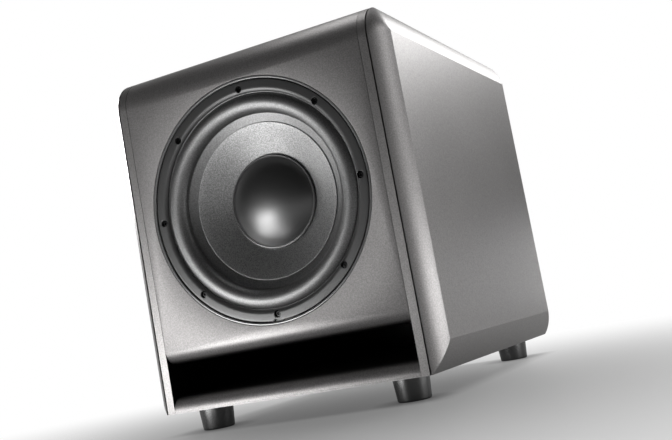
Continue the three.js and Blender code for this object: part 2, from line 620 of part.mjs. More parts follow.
const addHeatsink = () => {
  const [z0, z1] = [HEATSINK_BOTTOM_Z, HEATSINK_TOP_Z];
  const base = PLATE_OUT_Y + FIT;
  const solids = [box(-HEATSINK_HALF_WIDTH, HEATSINK_HALF_WIDTH, base, base + 3, z0, z1)];
  for (let i = 0; i < FIN_COUNT; i++) {
    const x = (i - (FIN_COUNT - 1) / 2) * FIN_PITCH;
    solids.push(box(x - 1.2, x + 1.2, base + 2, base + FIN_HEIGHT, z0, z1));
  }
  addPart("heatsink", join(...solids), looks.anodised);
};

const addControls = () => {
  const face = PLATE_OUT_Y + FIT;
  for (const [name, x] of KNOBS) {
    const end = face + KNOB_HEIGHT;
    const cap = turnedY([
      [0, face], [KNOB_RADIUS, face], [KNOB_RADIUS - 0.9, end - 1], [KNOB_RADIUS - 1.7, end], [0, end],
    ], 18, x, CONTROL_Z);
    const shaft = rodY(KNOB_SHAFT_RADIUS, REAR_FACE_Y - 18, face + 1, x, CONTROL_Z, 10);
    const pointer = box(x - 0.6, x + 0.6, end - 0.6, end + 2, CONTROL_Z + 2.5, CONTROL_Z + 12);
    addPart(name, cut(join(cap, shaft), pointer), looks.blackPlastic);
  }
  for (const [name, x] of SLIDERS) {
    const x0 = x - (SLIDER_TRAVEL + SLIDER_WIDTH) / 2;
    const stem = box(x0, x0 + SLIDER_WIDTH, REAR_FACE_Y - 8, face + 2.4, CONTROL_Z - 1.5, CONTROL_Z + 1.5);
    addPart(name, stem, looks.blackPlastic);
  }
  for (const [name, x] of JACKS) {
    const sleeve = turnedY([
      [1.7, face + 9], [4.15, face + 9], [4.15, face + 1.6], [6.2, face + 1.6], [6.2, face], [4.2, face],
      [4.2, REAR_FACE_Y - 12], [1.7, REAR_FACE_Y - 12],
    ], 10, x, JACK_Z);
    addPart(name, sleeve, looks.steel);
  }
  const lamp = turnedY([
    [0, REAR_FACE_Y - 6], [2.5, REAR_FACE_Y - 6], [2.5, face + 0.6], [1.6, face + 1.6], [0, face + 2],
  ], 10, LED_X, CONTROL_Z);
  addPart("status_led", lamp, looks.lens);
};

const addMains = () => {
  const face = PLATE_OUT_Y + FIT;
  const flange = box(INLET_X - 25, INLET_X + 25, face, face + 2.5, POWER_Z - 14, POWER_Z + 14);
  const body = box(INLET_X - 14, INLET_X + 14, REAR_FACE_Y - 20, face + 1, POWER_Z - 10.2, POWER_Z + 10.2);
  const socket = box(INLET_X - 12, INLET_X + 12, REAR_FACE_Y - 12, face + 5, POWER_Z - 8, POWER_Z + 8);
  const pins = [[-7, -1.5], [7, -1.5], [0, 2.5]].map(([dx, dz]) => box(
    INLET_X + dx - 1, INLET_X + dx + 1, REAR_FACE_Y - 14, REAR_FACE_Y - 1,
    POWER_Z + dz - 2, POWER_Z + dz + 2,
  ));
  addPart("mains_inlet", join(cut(join(flange, body), socket), ...pins), looks.blackPlastic);

  const frame = box(SWITCH_X - 11, SWITCH_X + 11, face, face + 2, POWER_Z - 15.5, POWER_Z + 15.5);
  const shell = box(SWITCH_X - 8.5, SWITCH_X + 8.5, REAR_FACE_Y - 16, face + 1, POWER_Z - 13, POWER_Z + 13);
  const well = box(SWITCH_X - 7, SWITCH_X + 7, REAR_FACE_Y - 12, face + 5, POWER_Z - 11.5, POWER_Z + 11.5);
  addPart("switch_housing", cut(join(frame, shell), well), looks.blackPlastic);

  // The rocker's two faces meet in a shallow V over its pivot. At rest its lower half is pressed in.
  const corners = [[-4, -9.4], [4.9, -9.4], [3.4, 0], [4.9, 9.4], [-4, 9.4], [-6, 0]];
  const [cos, sin] = [Math.cos(ROCKER_TILT), Math.sin(ROCKER_TILT)];
  const tilted = corners.map(([y, z]) => new THREE.Vector2(
    PLATE_OUT_Y + y * cos + z * sin, POWER_Z + z * cos - y * sin,
  ));
  const rocker = extrudeX(new THREE.Shape(tilted), SWITCH_X - 6.5, SWITCH_X + 6.5);
  addPart("power_rocker", rocker, looks.satinPlastic);
};

const BOARD_Y = REAR_FACE_Y - 26;

const addAmpInside = () => {
  const [x0, x1, z0, z1] = [-95, 95, 128, 256];
  const solids = [box(x0, x1, BOARD_Y, BOARD_Y + 1.6, z0, z1)];
  for (const x of [x0 + 5, x1 - 5]) {
    for (const z of [z0 + 5, z1 - 5]) solids.push(rodY(3, BOARD_Y + 1, PLATE_IN_Y - FIT, x, z, 6));
  }
  for (const [x, z] of [[-60, 190], [-20, 190]]) {
    solids.push(rodY(12.5, BOARD_Y - 38, BOARD_Y + 1, x, z, 14));
  }
  for (const [x, z] of [[40, 170], [70, 205]]) {
    solids.push(box(x - 9, x + 9, BOARD_Y - 14, BOARD_Y + 1, z - 6, z + 6));
  }
  addPart("amp_board", join(...solids), looks.circuit);
  const [backY, frontY] = [PLATE_IN_Y - FIT, PLATE_IN_Y - 42];
  const transformer = [
    [14, frontY + 4], [18, frontY], [38, frontY], [43, frontY + 5],
    [43, backY - 5], [38, backY], [18, backY], [14, backY - 4],
  ];
  addPart("transformer", turnedY(transformer, 18, 40, 305), looks.copper);
};

const addLeads = () => {
  const [x, z] = aroundDriver(TERMINAL_RADIUS + 2.5, TERMINAL_ANGLE);
  const startY = FRONT_Y + 64 + FIT;
  const endY = BOARD_Y - FIT;
  for (const [name, side] of [["lead_positive", 1], ["lead_negative", -1]]) {
    const dz = 6 * side;
    addPart(name, wireAlong([
      [x, startY, z + dz],
      [x, startY + 12, z + dz],
      [x + 4, startY + 50, z - 14 + dz * 0.8],
      [x + 2, startY + 110, z - 50 + dz * 0.6],
      [x - 6, startY + 180, z - 72 + dz * 0.5],
      [x - 14, startY + 260, z - 74 + dz * 0.5],
      [x - 18, endY - 30, z - 50 + dz * 0.6],
      [x - 18, endY - 10, z - 42 + dz * 0.6],
      [x - 18, endY, z - 42 + dz * 0.6],
    ], 1.6, 22), side > 0 ? looks.cone : looks.blackPlastic);
  }
};

addBaffle();
addSidePanels();
addCheek("side_cheek_left", -1);
addCheek("side_cheek_right", 1);
addBoards();
addFeet();
addRings();
addDriverScrews();
addBasket();
addSurround();
addCone();
addDustCap();
addMotor();
addTerminal();
addAmpPlate();
addHeatsink();
addControls();
addMains();
addAmpInside();
addLeads();

export default group;
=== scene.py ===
"""The looks of a floor-standing powered subwoofer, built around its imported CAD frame.

Every piece is modelled in millimetres in the frame's own axes: +Z up, the driver faces -Y, and the
origin lies on the floor under the middle of the cabinet. add_piece() turns millimetres into metres.
"""

import math

import bmesh
import bpy
from mathutils import Matrix, Vector


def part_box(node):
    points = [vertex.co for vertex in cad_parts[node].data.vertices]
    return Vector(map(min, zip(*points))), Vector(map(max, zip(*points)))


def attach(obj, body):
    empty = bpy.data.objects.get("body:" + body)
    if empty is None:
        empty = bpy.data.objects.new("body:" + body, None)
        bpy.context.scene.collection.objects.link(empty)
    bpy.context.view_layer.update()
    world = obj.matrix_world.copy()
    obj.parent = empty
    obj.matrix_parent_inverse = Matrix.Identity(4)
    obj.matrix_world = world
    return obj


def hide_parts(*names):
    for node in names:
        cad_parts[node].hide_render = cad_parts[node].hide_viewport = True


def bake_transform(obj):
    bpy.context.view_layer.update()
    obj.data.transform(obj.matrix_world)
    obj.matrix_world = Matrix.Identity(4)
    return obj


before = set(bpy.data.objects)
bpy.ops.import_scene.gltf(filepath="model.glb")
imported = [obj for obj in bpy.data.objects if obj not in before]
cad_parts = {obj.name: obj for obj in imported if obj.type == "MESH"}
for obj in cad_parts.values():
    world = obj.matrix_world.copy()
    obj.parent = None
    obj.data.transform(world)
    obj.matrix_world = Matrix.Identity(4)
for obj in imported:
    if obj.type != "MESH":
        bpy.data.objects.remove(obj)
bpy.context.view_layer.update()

MM = 0.001


def span(node, axis):
    """The lowest and highest coordinate of a CAD node along one axis, in millimetres."""
    low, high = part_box(node)
    return low[axis] / MM, high[axis] / MM


# ---- Places that the frame gives ------------------------------------------------------------------
FRONT_Y, RETURN_Y = span("front_baffle", 1)
PORT_TOP, TOP_Z = span("front_baffle", 2)
BOARD_HALF = span("front_baffle", 0)[1]
REAR_Y = span("side_panel_right", 1)[1]
BOTTOM_Z, FLOOR_TOP = span("bottom_panel", 2)
SIDE_IN_X, SIDE_OUT_X = span("side_panel_right", 0)
CHEEK_IN_X, CHEEK_OUT_X = span("side_cheek_right", 0)
REAR_FACE_Y = span("rear_panel", 1)[1]
DRIVER_Z = sum(span("cone", 2)) / 2
PLATE_FACE_Y = span("amp_plate", 1)[1]
CONTROL_FACE_Y = span("level_knob", 1)[1] - 12

# ---- Sizes of the shapes, in millimetres ----------------------------------------------------------
TOP_ROUNDOVER = 37
PANEL = 18
BAFFLE_THICKNESS = 25
PORT_EDGE_RADIUS = 15
LIP_RADIUS = 17
RECESS_RADIUS = 133.5
RECESS_DEPTH = 11.5
BAFFLE_HOLE_RADIUS = 117
GROOVE_WIDTH = 1.7
GROOVE_DEPTH = 6
CHEEK_BEVEL_Y = 24
CHEEK_BEVEL_Z = 31
CHEEK_BULGE = 2.2
FLANGE_RADIUS = 129.5
SCREW_CIRCLE = 122.2
SCREW_COUNT = 8
SCREW_HOLE_RADIUS = 3.9
CONE_RADIUS = 85.4
CONE_RIM_DEPTH = 18
CONE_SLOPE = 0.585
CAP_RADIUS = 51.8
CAP_APEX_DEPTH = 21
CONE_THICKNESS = 1.2
ROLL_CENTRE = 106.8
ROLL_CENTRE_DEPTH = 13.5
ROLL_RADIUS = 11.9
COIL_RADIUS = 32.8
RING_STEPS = 192


# ---- Mesh making ----------------------------------------------------------------------------------
def add_piece(name, mesh_data, look, body="cabinet", replaces=(), smooth=28, bevel=0.0, ride=True):
    """A finished piece from (points in mm, faces): shaded, painted, and riding on its body."""
    points, faces = mesh_data
    mesh = bpy.data.meshes.new(name)
    mesh.from_pydata([Vector(p) * MM for p in points], [], faces)
    work = bmesh.new()
    work.from_mesh(mesh)
    bmesh.ops.remove_doubles(work, verts=work.verts, dist=1e-6)
    bmesh.ops.dissolve_degenerate(work, edges=work.edges, dist=1e-7)
    bmesh.ops.recalc_face_normals(work, faces=work.faces)
    work.to_mesh(mesh)
    work.free()
    piece = bpy.data.objects.new(name, mesh)
    bpy.context.scene.collection.objects.link(piece)
    if bevel:
        soften(piece, bevel)
    dress(piece, look, smooth)
    if ride:
        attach(piece, body)
    if replaces:
        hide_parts(*replaces)
    return piece


def dress(piece, look, smooth=28):
    """Gives a piece its material, and smooth shading below an angle in degrees."""
    piece.data.materials.clear()
    piece.data.materials.append(looks[look])
    piece.data.shade_smooth()
    piece.data.set_sharp_from_angle(angle=math.radians(smooth))


def soften(piece, width, segments=3, angle=35):
    """Rounds the sharp edges of a piece by a few tenths of a millimetre, and keeps the result."""
    modifier = piece.modifiers.new("edge", "BEVEL")
    modifier.width = width * MM
    modifier.segments = segments
    modifier.limit_method = "ANGLE"
    modifier.angle_limit = math.radians(angle)
    modifier.use_clamp_overlap = True
    settle(piece)


def settle(piece):
    """Applies the modifiers of a piece to its mesh."""
    graph = bpy.context.evaluated_depsgraph_get()
    final = bpy.data.meshes.new_from_object(piece.evaluated_get(graph))
    piece.modifiers.clear()
    old = piece.data
    piece.data = final
    bpy.data.meshes.remove(old)


def raw_object(mesh_data):
    """A bare object for a cut, from (points in mm, faces)."""
    points, faces = mesh_data
    mesh = bpy.data.meshes.new("tool")
    mesh.from_pydata([Vector(p) * MM for p in points], [], faces)
    work = bmesh.new()
    work.from_mesh(mesh)
    bmesh.ops.remove_doubles(work, verts=work.verts, dist=1e-6)
    bmesh.ops.recalc_face_normals(work, faces=work.faces)
    work.to_mesh(mesh)
    work.free()
    tool = bpy.data.objects.new("tool", mesh)
    bpy.context.scene.collection.objects.link(tool)
    return tool


def carved(mesh_data, cutters):
    """The mesh data, in mm, of a closed shape with other closed shapes cut out of it."""
    piece = raw_object(mesh_data)
    tools = [raw_object(c) for c in cutters]
    for tool in tools:
        modifier = piece.modifiers.new("cut", "BOOLEAN")
        modifier.operation = "DIFFERENCE"
        modifier.solver = "EXACT"
        modifier.object = tool
    settle(piece)
    points = [tuple(v.co / MM) for v in piece.data.vertices]
    faces = [tuple(p.vertices) for p in piece.data.polygons]
    for done in [piece, *tools]:
        mesh = done.data
        bpy.data.objects.remove(done)
        bpy.data.meshes.remove(mesh)
    return points, faces


def joined(*parts):
    """Several (points, faces) as one."""
    points, faces = [], []
    for more_points, more_faces in parts:
        start = len(points)
        points += list(more_points)
        faces += [tuple(start + i for i in face) for face in more_faces]
    return points, faces


def arc(centre, radius, start, end, steps):
    """Points of a plane arc, with angles in degrees."""
    angles = [math.radians(start + (end - start) * i / steps) for i in range(steps + 1)]
    return [(centre[0] + radius * math.cos(a), centre[1] + radius * math.sin(a)) for a in angles]


def filleted(outline, radius, steps=4):
    """A closed plane outline with its corners rounded: radius is one number, or one for each corner."""
    count = len(outline)
    radii = [radius] * count if isinstance(radius, (int, float)) else radius
    result = []
    for i, r in enumerate(radii):
        here = Vector(outline[i])
        back = Vector(outline[i - 1]) - here
        ahead = Vector(outline[(i + 1) % count]) - here
        angle = back.angle(ahead)
        if r <= 0 or angle > math.radians(178):
            result.append(tuple(here))
            continue
        reach = min(r / math.tan(angle / 2), back.length * 0.48, ahead.length * 0.48)
        r = reach * math.tan(angle / 2)
        middle = here + (back.normalized() + ahead.normalized()).normalized() * (r / math.sin(angle / 2))
        first = here + back.normalized() * reach - middle
        last = here + ahead.normalized() * reach - middle
        for k in range(steps + 1):
            share = k / steps
            turn = first.angle(last)
            mix = (first * math.sin((1 - share) * turn) + last * math.sin(share * turn)) / math.sin(turn)
            result.append(tuple(middle + mix))
    return result


def prism(outline, place, low, high):
    """A plane outline swept from low to high; place(u, v, w) says where a point goes."""
    count = len(outline)
    points = [place(u, v, low) for u, v in outline] + [place(u, v, high) for u, v in outline]
    faces = [tuple(range(count)), tuple(range(2 * count - 1, count - 1, -1))]
    faces += [(i, (i + 1) % count, count + (i + 1) % count, count + i) for i in range(count)]
    return points, faces


def along_x(u, v, w):
    return (w, u, v)


def along_y(u, v, w):
    return (u, w, v)


def box(x0, x1, y0, y1, z0, z1):
    return prism([(x0, z0), (x1, z0), (x1, z1), (x0, z1)], along_y, y0, y1)


def turned(profile, place, steps=RING_STEPS, closed=True, wobble=None):
    """A profile of (radius, depth) points turned about an axis. A radius of 0 makes a pole."""
    rings, points, faces = [], [], []
    for radius, depth in profile:
        if radius < 1e-6:
            rings.append([len(points)] * steps)
            points.append(place(0, 0, depth))
            continue
        rings.append(list(range(len(points), len(points) + steps)))
        for i in range(steps):
            a = 2 * math.pi * i / steps
            r = radius + (wobble(radius, depth, a) if wobble else 0)
            points.append(place(r * math.cos(a), r * math.sin(a), depth))
    pairs = list(zip(rings, rings[1:] + rings[:1])) if closed else list(zip(rings, rings[1:]))
    for one, two in pairs:
        for i in range(steps):
            j = (i + 1) % steps
            corners = [one[i], one[j], two[j], two[i]]
            face = [c for k, c in enumerate(corners) if c not in corners[:k]]
            if len(face) > 2:
                faces.append(tuple(face))
    return points, faces


def on_driver(u, v, depth):
    return (u, FRONT_Y + depth, DRIVER_Z + v)


def facing_rear(x, z):
    """Where a turned shape goes whose axis points to +Y at (x, z); its depth is a Y coordinate."""
    return lambda u, v, depth: (x + u, depth, z + v)


def standing(x, y):
    """Where a turned shape goes whose axis is vertical at (x, y); its depth is a Z coordinate."""
    return lambda u, v, depth: (x + u, y + v, depth)


def screw_place(index):
    angle = math.pi / 2 - index * 2 * math.pi / SCREW_COUNT
    return SCREW_CIRCLE * math.cos(angle), SCREW_CIRCLE * math.sin(angle)


# ---- Materials ------------------------------------------------------------------------------------
def grey(value, warmth=0.0):
    """A linear grey, a touch warmer where warmth is above 0."""
    return (value * (1 + warmth), value, value * (1 - warmth), 1.0)


def shade(name, dark, light, rough=0.5, metal=0.0, grain=900.0, contrast=(0.35, 0.65), bump=0.1,
          bump_depth=0.05, spread=0.06, cloud=9.0, specular=0.5, ior=1.5, coat=0.0, coat_rough=0.2,
          sheen=0.0, stretch=None, flake=0.0, wave=None, painted_shade_side=None, glint=None):
    """A procedural finish. Fine grain mixes two tones and lifts the surface, and a broad cloud
    varies the roughness. flake tilts the surface in small cells, as metal flakes in paint do.
    The side for painted shade, an axis and a sign, turns the faces that look that way matt black
    as painted shade, except in the recess at the rear. glint, a low and a high level, varies the
    strength of the reflections with the grain."""
    material = bpy.data.materials.new(name)
    material.use_nodes = True
    tree = material.node_tree
    tree.nodes.clear()
    output = tree.nodes.new("ShaderNodeOutputMaterial")
    shader = tree.nodes.new("ShaderNodeBsdfPrincipled")
    tree.links.new(shader.outputs["BSDF"], output.inputs["Surface"])
    shader.inputs["Metallic"].default_value = metal
    shader.inputs["Specular IOR Level"].default_value = specular
    shader.inputs["IOR"].default_value = ior
    shader.inputs["Coat Weight"].default_value = coat
    shader.inputs["Coat Roughness"].default_value = coat_rough
    shader.inputs["Sheen Weight"].default_value = sheen

    where = tree.nodes.new("ShaderNodeTexCoord").outputs["Object"]
    if stretch:
        mapping = tree.nodes.new("ShaderNodeMapping")
        mapping.inputs["Scale"].default_value = stretch
        tree.links.new(where, mapping.inputs["Vector"])
        where = mapping.outputs["Vector"]

    def noise(scale, detail, roughness=0.6):
        made = tree.nodes.new("ShaderNodeTexNoise")
        made.inputs["Scale"].default_value = scale
        made.inputs["Detail"].default_value = detail
        made.inputs["Roughness"].default_value = roughness
        tree.links.new(where, made.inputs["Vector"])
        return made.outputs["Fac"]

    if wave:
        pattern = tree.nodes.new("ShaderNodeTexWave")
        pattern.wave_type = "BANDS"
        pattern.bands_direction = wave[0]
        pattern.inputs["Scale"].default_value = wave[1]
        pattern.inputs["Distortion"].default_value = wave[2]
        pattern.inputs["Detail"].default_value = 2.0
        tree.links.new(where, pattern.inputs["Vector"])
        fine = pattern.outputs["Fac"]
    else:
        fine = noise(grain, 3.0)
    ramp = tree.nodes.new("ShaderNodeValToRGB")
    ramp.color_ramp.elements[0].position, ramp.color_ramp.elements[1].position = contrast
    ramp.color_ramp.elements[0].color = dark
    ramp.color_ramp.elements[1].color = light
    tree.links.new(fine, ramp.inputs["Fac"])
    tree.links.new(ramp.outputs["Color"], shader.inputs["Base Color"])
    # Painted shade: faces that look along the given axis turn matt black, grey 0.006, except behind the
    # rear face, in the recess.
    if painted_shade_side:
        facing = tree.nodes.new("ShaderNodeSeparateXYZ")
        tree.links.new(tree.nodes.new("ShaderNodeNewGeometry").outputs["Normal"], facing.inputs["Vector"])
        painted = tree.nodes.new("ShaderNodeMapRange")
        painted.interpolation_type = "SMOOTHSTEP"
        painted.inputs["From Min"].default_value = 0.98 * painted_shade_side[1]
        painted.inputs["From Max"].default_value = 0.60 * painted_shade_side[1]
        tree.links.new(facing.outputs[painted_shade_side[0]], painted.inputs["Value"])
        along = tree.nodes.new("ShaderNodeSeparateXYZ")
        tree.links.new(where, along.inputs["Vector"])
        behind = tree.nodes.new("ShaderNodeMath")
        behind.operation = "GREATER_THAN"
        behind.inputs[1].default_value = (REAR_FACE_Y - 1) * MM
        tree.links.new(along.outputs["Y"], behind.inputs[0])
        either = tree.nodes.new("ShaderNodeMath")
        either.operation = "MAXIMUM"
        tree.links.new(painted.outputs["Result"], either.inputs[0])
        tree.links.new(behind.outputs["Value"], either.inputs[1])
        shaded_colour = tree.nodes.new("ShaderNodeMix")
        shaded_colour.data_type = "RGBA"
        shaded_colour.inputs["A"].default_value = grey(0.006)
        tree.links.new(either.outputs["Value"], shaded_colour.inputs["Factor"])
        tree.links.new(ramp.outputs["Color"], shaded_colour.inputs["B"])
        tree.links.new(shaded_colour.outputs["Result"], shader.inputs["Base Color"])

    if glint:
        strength = tree.nodes.new("ShaderNodeMapRange")
        strength.inputs["From Min"].default_value = 0.35
        strength.inputs["From Max"].default_value = 0.65
        strength.inputs["To Min"].default_value = glint[0]
        strength.inputs["To Max"].default_value = glint[1]
        tree.links.new(fine, strength.inputs["Value"])
        tree.links.new(strength.outputs["Result"], shader.inputs["Specular IOR Level"])

    vary = tree.nodes.new("ShaderNodeMapRange")
    vary.inputs["From Min"].default_value = 0.3
    vary.inputs["From Max"].default_value = 0.7
    vary.inputs["To Min"].default_value = rough - spread
    vary.inputs["To Max"].default_value = rough + spread
    tree.links.new(noise(cloud, 4.0), vary.inputs["Value"])
    tree.links.new(vary.outputs["Result"], shader.inputs["Roughness"])

    lift = tree.nodes.new("ShaderNodeBump")
    lift.inputs["Strength"].default_value = bump
    lift.inputs["Distance"].default_value = bump_depth * MM
    tree.links.new(fine, lift.inputs["Height"])
    normal = lift.outputs["Normal"]
    if flake:
        cells = tree.nodes.new("ShaderNodeTexVoronoi")
        cells.inputs["Scale"].default_value = grain * 1.3
        tree.links.new(where, cells.inputs["Vector"])
        tilt = tree.nodes.new("ShaderNodeBump")
        tilt.inputs["Strength"].default_value = flake
        tilt.inputs["Distance"].default_value = bump_depth * MM
        tree.links.new(cells.outputs["Color"], tilt.inputs["Height"])
        tree.links.new(normal, tilt.inputs["Normal"])
        normal = tilt.outputs["Normal"]
    tree.links.new(normal, shader.inputs["Normal"])
    return material


paint = dict(dark=(0.227, 0.221, 0.220, 1), light=(0.362, 0.350, 0.347, 1), rough=0.43,
             metal=0.85, grain=760,
             contrast=(0.3, 0.7), bump=0.18, bump_depth=0.06, spread=0.015, flake=0.30)
looks = {
    "paint": shade("cabinet_paint", **paint),
    # Painted shade: these copies of the cabinet paint turn matt black on the faces that look into the port
    # and the box.
    "baffle_paint_shaded_underside": shade("baffle_paint_shaded_underside", painted_shade_side=("Z", -1), **paint),
    "lip_paint_shaded_top": shade("lip_paint_shaded_top", painted_shade_side=("Z", 1), **paint),
    "left_paint": shade("left_board_paint_shaded_inside", painted_shade_side=("X", 1), **paint),
    "right_paint": shade("right_board_paint_shaded_inside", painted_shade_side=("X", -1), **paint),
    "rear_paint_shaded_inside": shade("rear_board_paint_shaded_inside", painted_shade_side=("Y", -1), **paint),
    "board": shade("raw_fibreboard", (0.03, 0.024, 0.018, 1), (0.06, 0.047, 0.035, 1), rough=0.85,
                   grain=450, bump=0.5, bump_depth=0.15),
    # Near-black painted shade for the inside of the port; no piece uses it.
    "port_painted_shade": shade("port_painted_shade", grey(0.002), grey(0.004), specular=0.1, rough=0.8, grain=700,
                         bump=0.3),
    "satin": shade("satin_ring", grey(0.030), grey(0.042), rough=0.34, grain=1400, bump=0.12, spread=0.03,
                   ior=1.7),
    "trim": shade("trim_ring", grey(0.10), grey(0.13), rough=0.22, grain=1500, bump=0.08, spread=0.03,
                  ior=2.0),
    "rubber": shade("surround_rubber", grey(0.002), grey(0.004), rough=0.46, grain=760, bump=0.4,
                    bump_depth=0.06, spread=0.02, ior=2.1, flake=0.3, glint=(0.7, 1.1)),
    "gasket": shade("seal_rubber", grey(0.008), grey(0.014), rough=0.8, grain=800, bump=0.3),
    "foot": shade("foot_rubber", grey(0.002), grey(0.003), rough=0.27, grain=800, bump=0.06, spread=0.02,
                  ior=2.2),
    "cone": shade("flecked_cone", grey(0.20), grey(0.44), rough=0.48, metal=0.9, grain=820,
                  contrast=(0.34, 0.66), bump=0.28, bump_depth=0.05, spread=0.015, flake=0.2),
    "cap": shade("dust_cap_shell", grey(0.008), grey(0.012), rough=0.34, grain=1600, bump=0.03, spread=0.02,
                 specular=0.5, ior=2.2),
    "cast": shade("cast_frame", grey(0.02), grey(0.035), rough=0.55, metal=0.3, grain=900, bump=0.4,
                  bump_depth=0.12),
    "steel": shade("plated_steel", grey(0.42), grey(0.55), rough=0.30, metal=1.0, grain=600, bump=0.08),
    "black_steel": shade("blackened_steel", grey(0.004), grey(0.010), rough=0.30, metal=0.5, grain=900,
                         bump=0.1),
    "ferrite": shade("ferrite", grey(0.035), grey(0.06), rough=0.75, grain=900, bump=0.4, bump_depth=0.1),
    "copper": shade("enamelled_copper", (0.30, 0.11, 0.045, 1), (0.50, 0.20, 0.08, 1), rough=0.35,
                    metal=0.9, wave=("Y", 260.0, 0.5), contrast=(0.2, 0.8), bump=0.6, bump_depth=0.2),
    "former": shade("coil_former_sheet", grey(0.035), grey(0.05), rough=0.4, metal=0.6, grain=500,
                     bump=0.1),
    "cloth": shade("spider_cloth", (0.30, 0.19, 0.07, 1), (0.52, 0.36, 0.16, 1), rough=0.85,
                   wave=("DIAGONAL", 420.0, 1.0), contrast=(0.2, 0.8), bump=0.6, bump_depth=0.15,
                   sheen=0.2),
    "circuit": shade("circuit_board", (0.008, 0.05, 0.018, 1), (0.014, 0.09, 0.032, 1), rough=0.4,
                     wave=("Z", 60.0, 3.0), contrast=(0.45, 0.55), bump=0.2, coat=0.3),
    "plate": shade("anodised_plate", grey(0.018), grey(0.028), rough=0.42, metal=0.5, grain=260,
                   stretch=(1.0, 1.0, 14.0), bump=0.16, bump_depth=0.03, spread=0.04),
    "heatsink": shade("anodised_fins", grey(0.014), grey(0.024), rough=0.38, metal=0.6, grain=200,
                      stretch=(14.0, 1.0, 1.0), bump=0.2, bump_depth=0.03),
    "plastic": shade("moulded_plastic", grey(0.012), grey(0.018), rough=0.46, grain=1500, bump=0.3,
                     bump_depth=0.03, spread=0.04),
    "knob": shade("knob_plastic", grey(0.014), grey(0.02), rough=0.36, grain=1500, bump=0.15, spread=0.04),
    "marking": shade("printed_marking", grey(0.62), grey(0.75), rough=0.55, grain=900, bump=0.05),
    "nickel": shade("nickel", grey(0.52, 0.03), grey(0.62, 0.03), rough=0.20, metal=1.0, grain=500,
                    bump=0.05, spread=0.04),
    "insert_red": shade("jack_insert_red", (0.35, 0.01, 0.008, 1), (0.48, 0.02, 0.012, 1), rough=0.4),
    "insert_white": shade("jack_insert_white", grey(0.55), grey(0.68), rough=0.4),
    "lens": shade("led_lens", (0.01, 0.04, 0.22, 1), (0.02, 0.08, 0.35, 1), rough=0.12, grain=300,
                  bump=0.03, coat=0.6, coat_rough=0.05),
    "lead_red": shade("lead_jacket_red", (0.22, 0.008, 0.006, 1), (0.30, 0.012, 0.009, 1), rough=0.42),
    "lead_black": shade("lead_jacket_black", grey(0.010), grey(0.016), rough=0.42),
}


# ---- Cabinet --------------------------------------------------------------------------------------
def make_baffle():
    inner = TOP_ROUNDOVER - PANEL
    back_y = FRONT_Y + BAFFLE_THICKNESS
    port_edge = (FRONT_Y + PORT_EDGE_RADIUS, PORT_TOP + PORT_EDGE_RADIUS)
    top_edge = (FRONT_Y + TOP_ROUNDOVER, TOP_Z - TOP_ROUNDOVER)
    outline = [
        (back_y, PORT_TOP), (back_y, TOP_Z - TOP_ROUNDOVER), (back_y + inner, TOP_Z - PANEL),
        (RETURN_Y, TOP_Z - PANEL), (RETURN_Y, TOP_Z),
        *arc(top_edge, TOP_ROUNDOVER, 90, 180, 40), *arc(port_edge, PORT_EDGE_RADIUS, 180, 270, 24),
    ]
    slab = prism(outline, along_x, -BOARD_HALF, BOARD_HALF)
    recess = turned([(0, -5), (RECESS_RADIUS, -5), (RECESS_RADIUS, RECESS_DEPTH), (0, RECESS_DEPTH)],
                    on_driver, closed=False)
    hole = turned([(0, 5), (BAFFLE_HOLE_RADIUS, 5), (BAFFLE_HOLE_RADIUS, 40), (0, 40)],
                  on_driver, closed=False)
    # Painted shade: the board's downward faces, the roof of the port among them, are matt black.
    add_piece("baffle_board", carved(slab, [recess, hole]), "baffle_paint_shaded_underside", replaces=["front_baffle"],
              smooth=20, bevel=0.25)


def make_side_panels():
    top_edge = (FRONT_Y + TOP_ROUNDOVER, TOP_Z - TOP_ROUNDOVER)
    outline = [(FRONT_Y, BOTTOM_Z), (REAR_Y, BOTTOM_Z), (REAR_Y, TOP_Z),
               *arc(top_edge, TOP_ROUNDOVER, 90, 180, 40)]
    for name, side in (("left", -1), ("right", 1)):
        panel = prism(outline, along_x, side * SIDE_IN_X, side * SIDE_OUT_X)
        # Painted shade: each side board's inward faces are matt black, except in the rear recess.
        add_piece(f"side_board_{name}", panel, f"{name}_paint", replaces=[f"side_panel_{name}"], smooth=20)


def cheek_ring(inset_y, inset_z, radius, steps=28):
    y0, y1 = FRONT_Y + inset_y, REAR_Y - inset_y
    z0, z1 = BOTTOM_Z + inset_z, TOP_Z - inset_z
    corner = arc((y0 + radius, z1 - radius), max(radius, 0.01), 90, 180, steps)
    return [(y0, z0), (y1, z0), (y1, z1), *corner]


def make_cheeks():
    edge_x = SIDE_OUT_X + GROOVE_WIDTH
    rise = CHEEK_OUT_X - edge_x
    chord = math.hypot(CHEEK_BEVEL_Y, rise)
    step = cheek_ring(GROOVE_DEPTH, GROOVE_DEPTH, TOP_ROUNDOVER - GROOVE_DEPTH)
    rings = [(CHEEK_IN_X, step), (edge_x, step)]
    levels = 22
    for i in range(levels + 1):
        t = i / levels
        swell = 4 * CHEEK_BULGE * t * (1 - t)
        share = t - swell * rise / chord / CHEEK_BEVEL_Y
        x = edge_x + rise * t + swell * CHEEK_BEVEL_Y / chord
        rings.append((x, cheek_ring(share * CHEEK_BEVEL_Y, share * CHEEK_BEVEL_Z,
                                    TOP_ROUNDOVER * (1 - t))))
    count = len(step)
    for name, side in (("left", -1), ("right", 1)):
        points = [(side * x, y, z) for x, ring in rings for y, z in ring]
        faces = [tuple(range(count)), tuple(range(len(points) - count, len(points)))]
        for level in range(len(rings) - 1):
            for i in range(count):
                j = (i + 1) % count
                low, high = level * count, (level + 1) * count
                faces.append((low + i, low + j, high + j, high + i))
        add_piece(f"cheek_{name}", (points, faces), "paint", replaces=[f"side_cheek_{name}"], smooth=14)


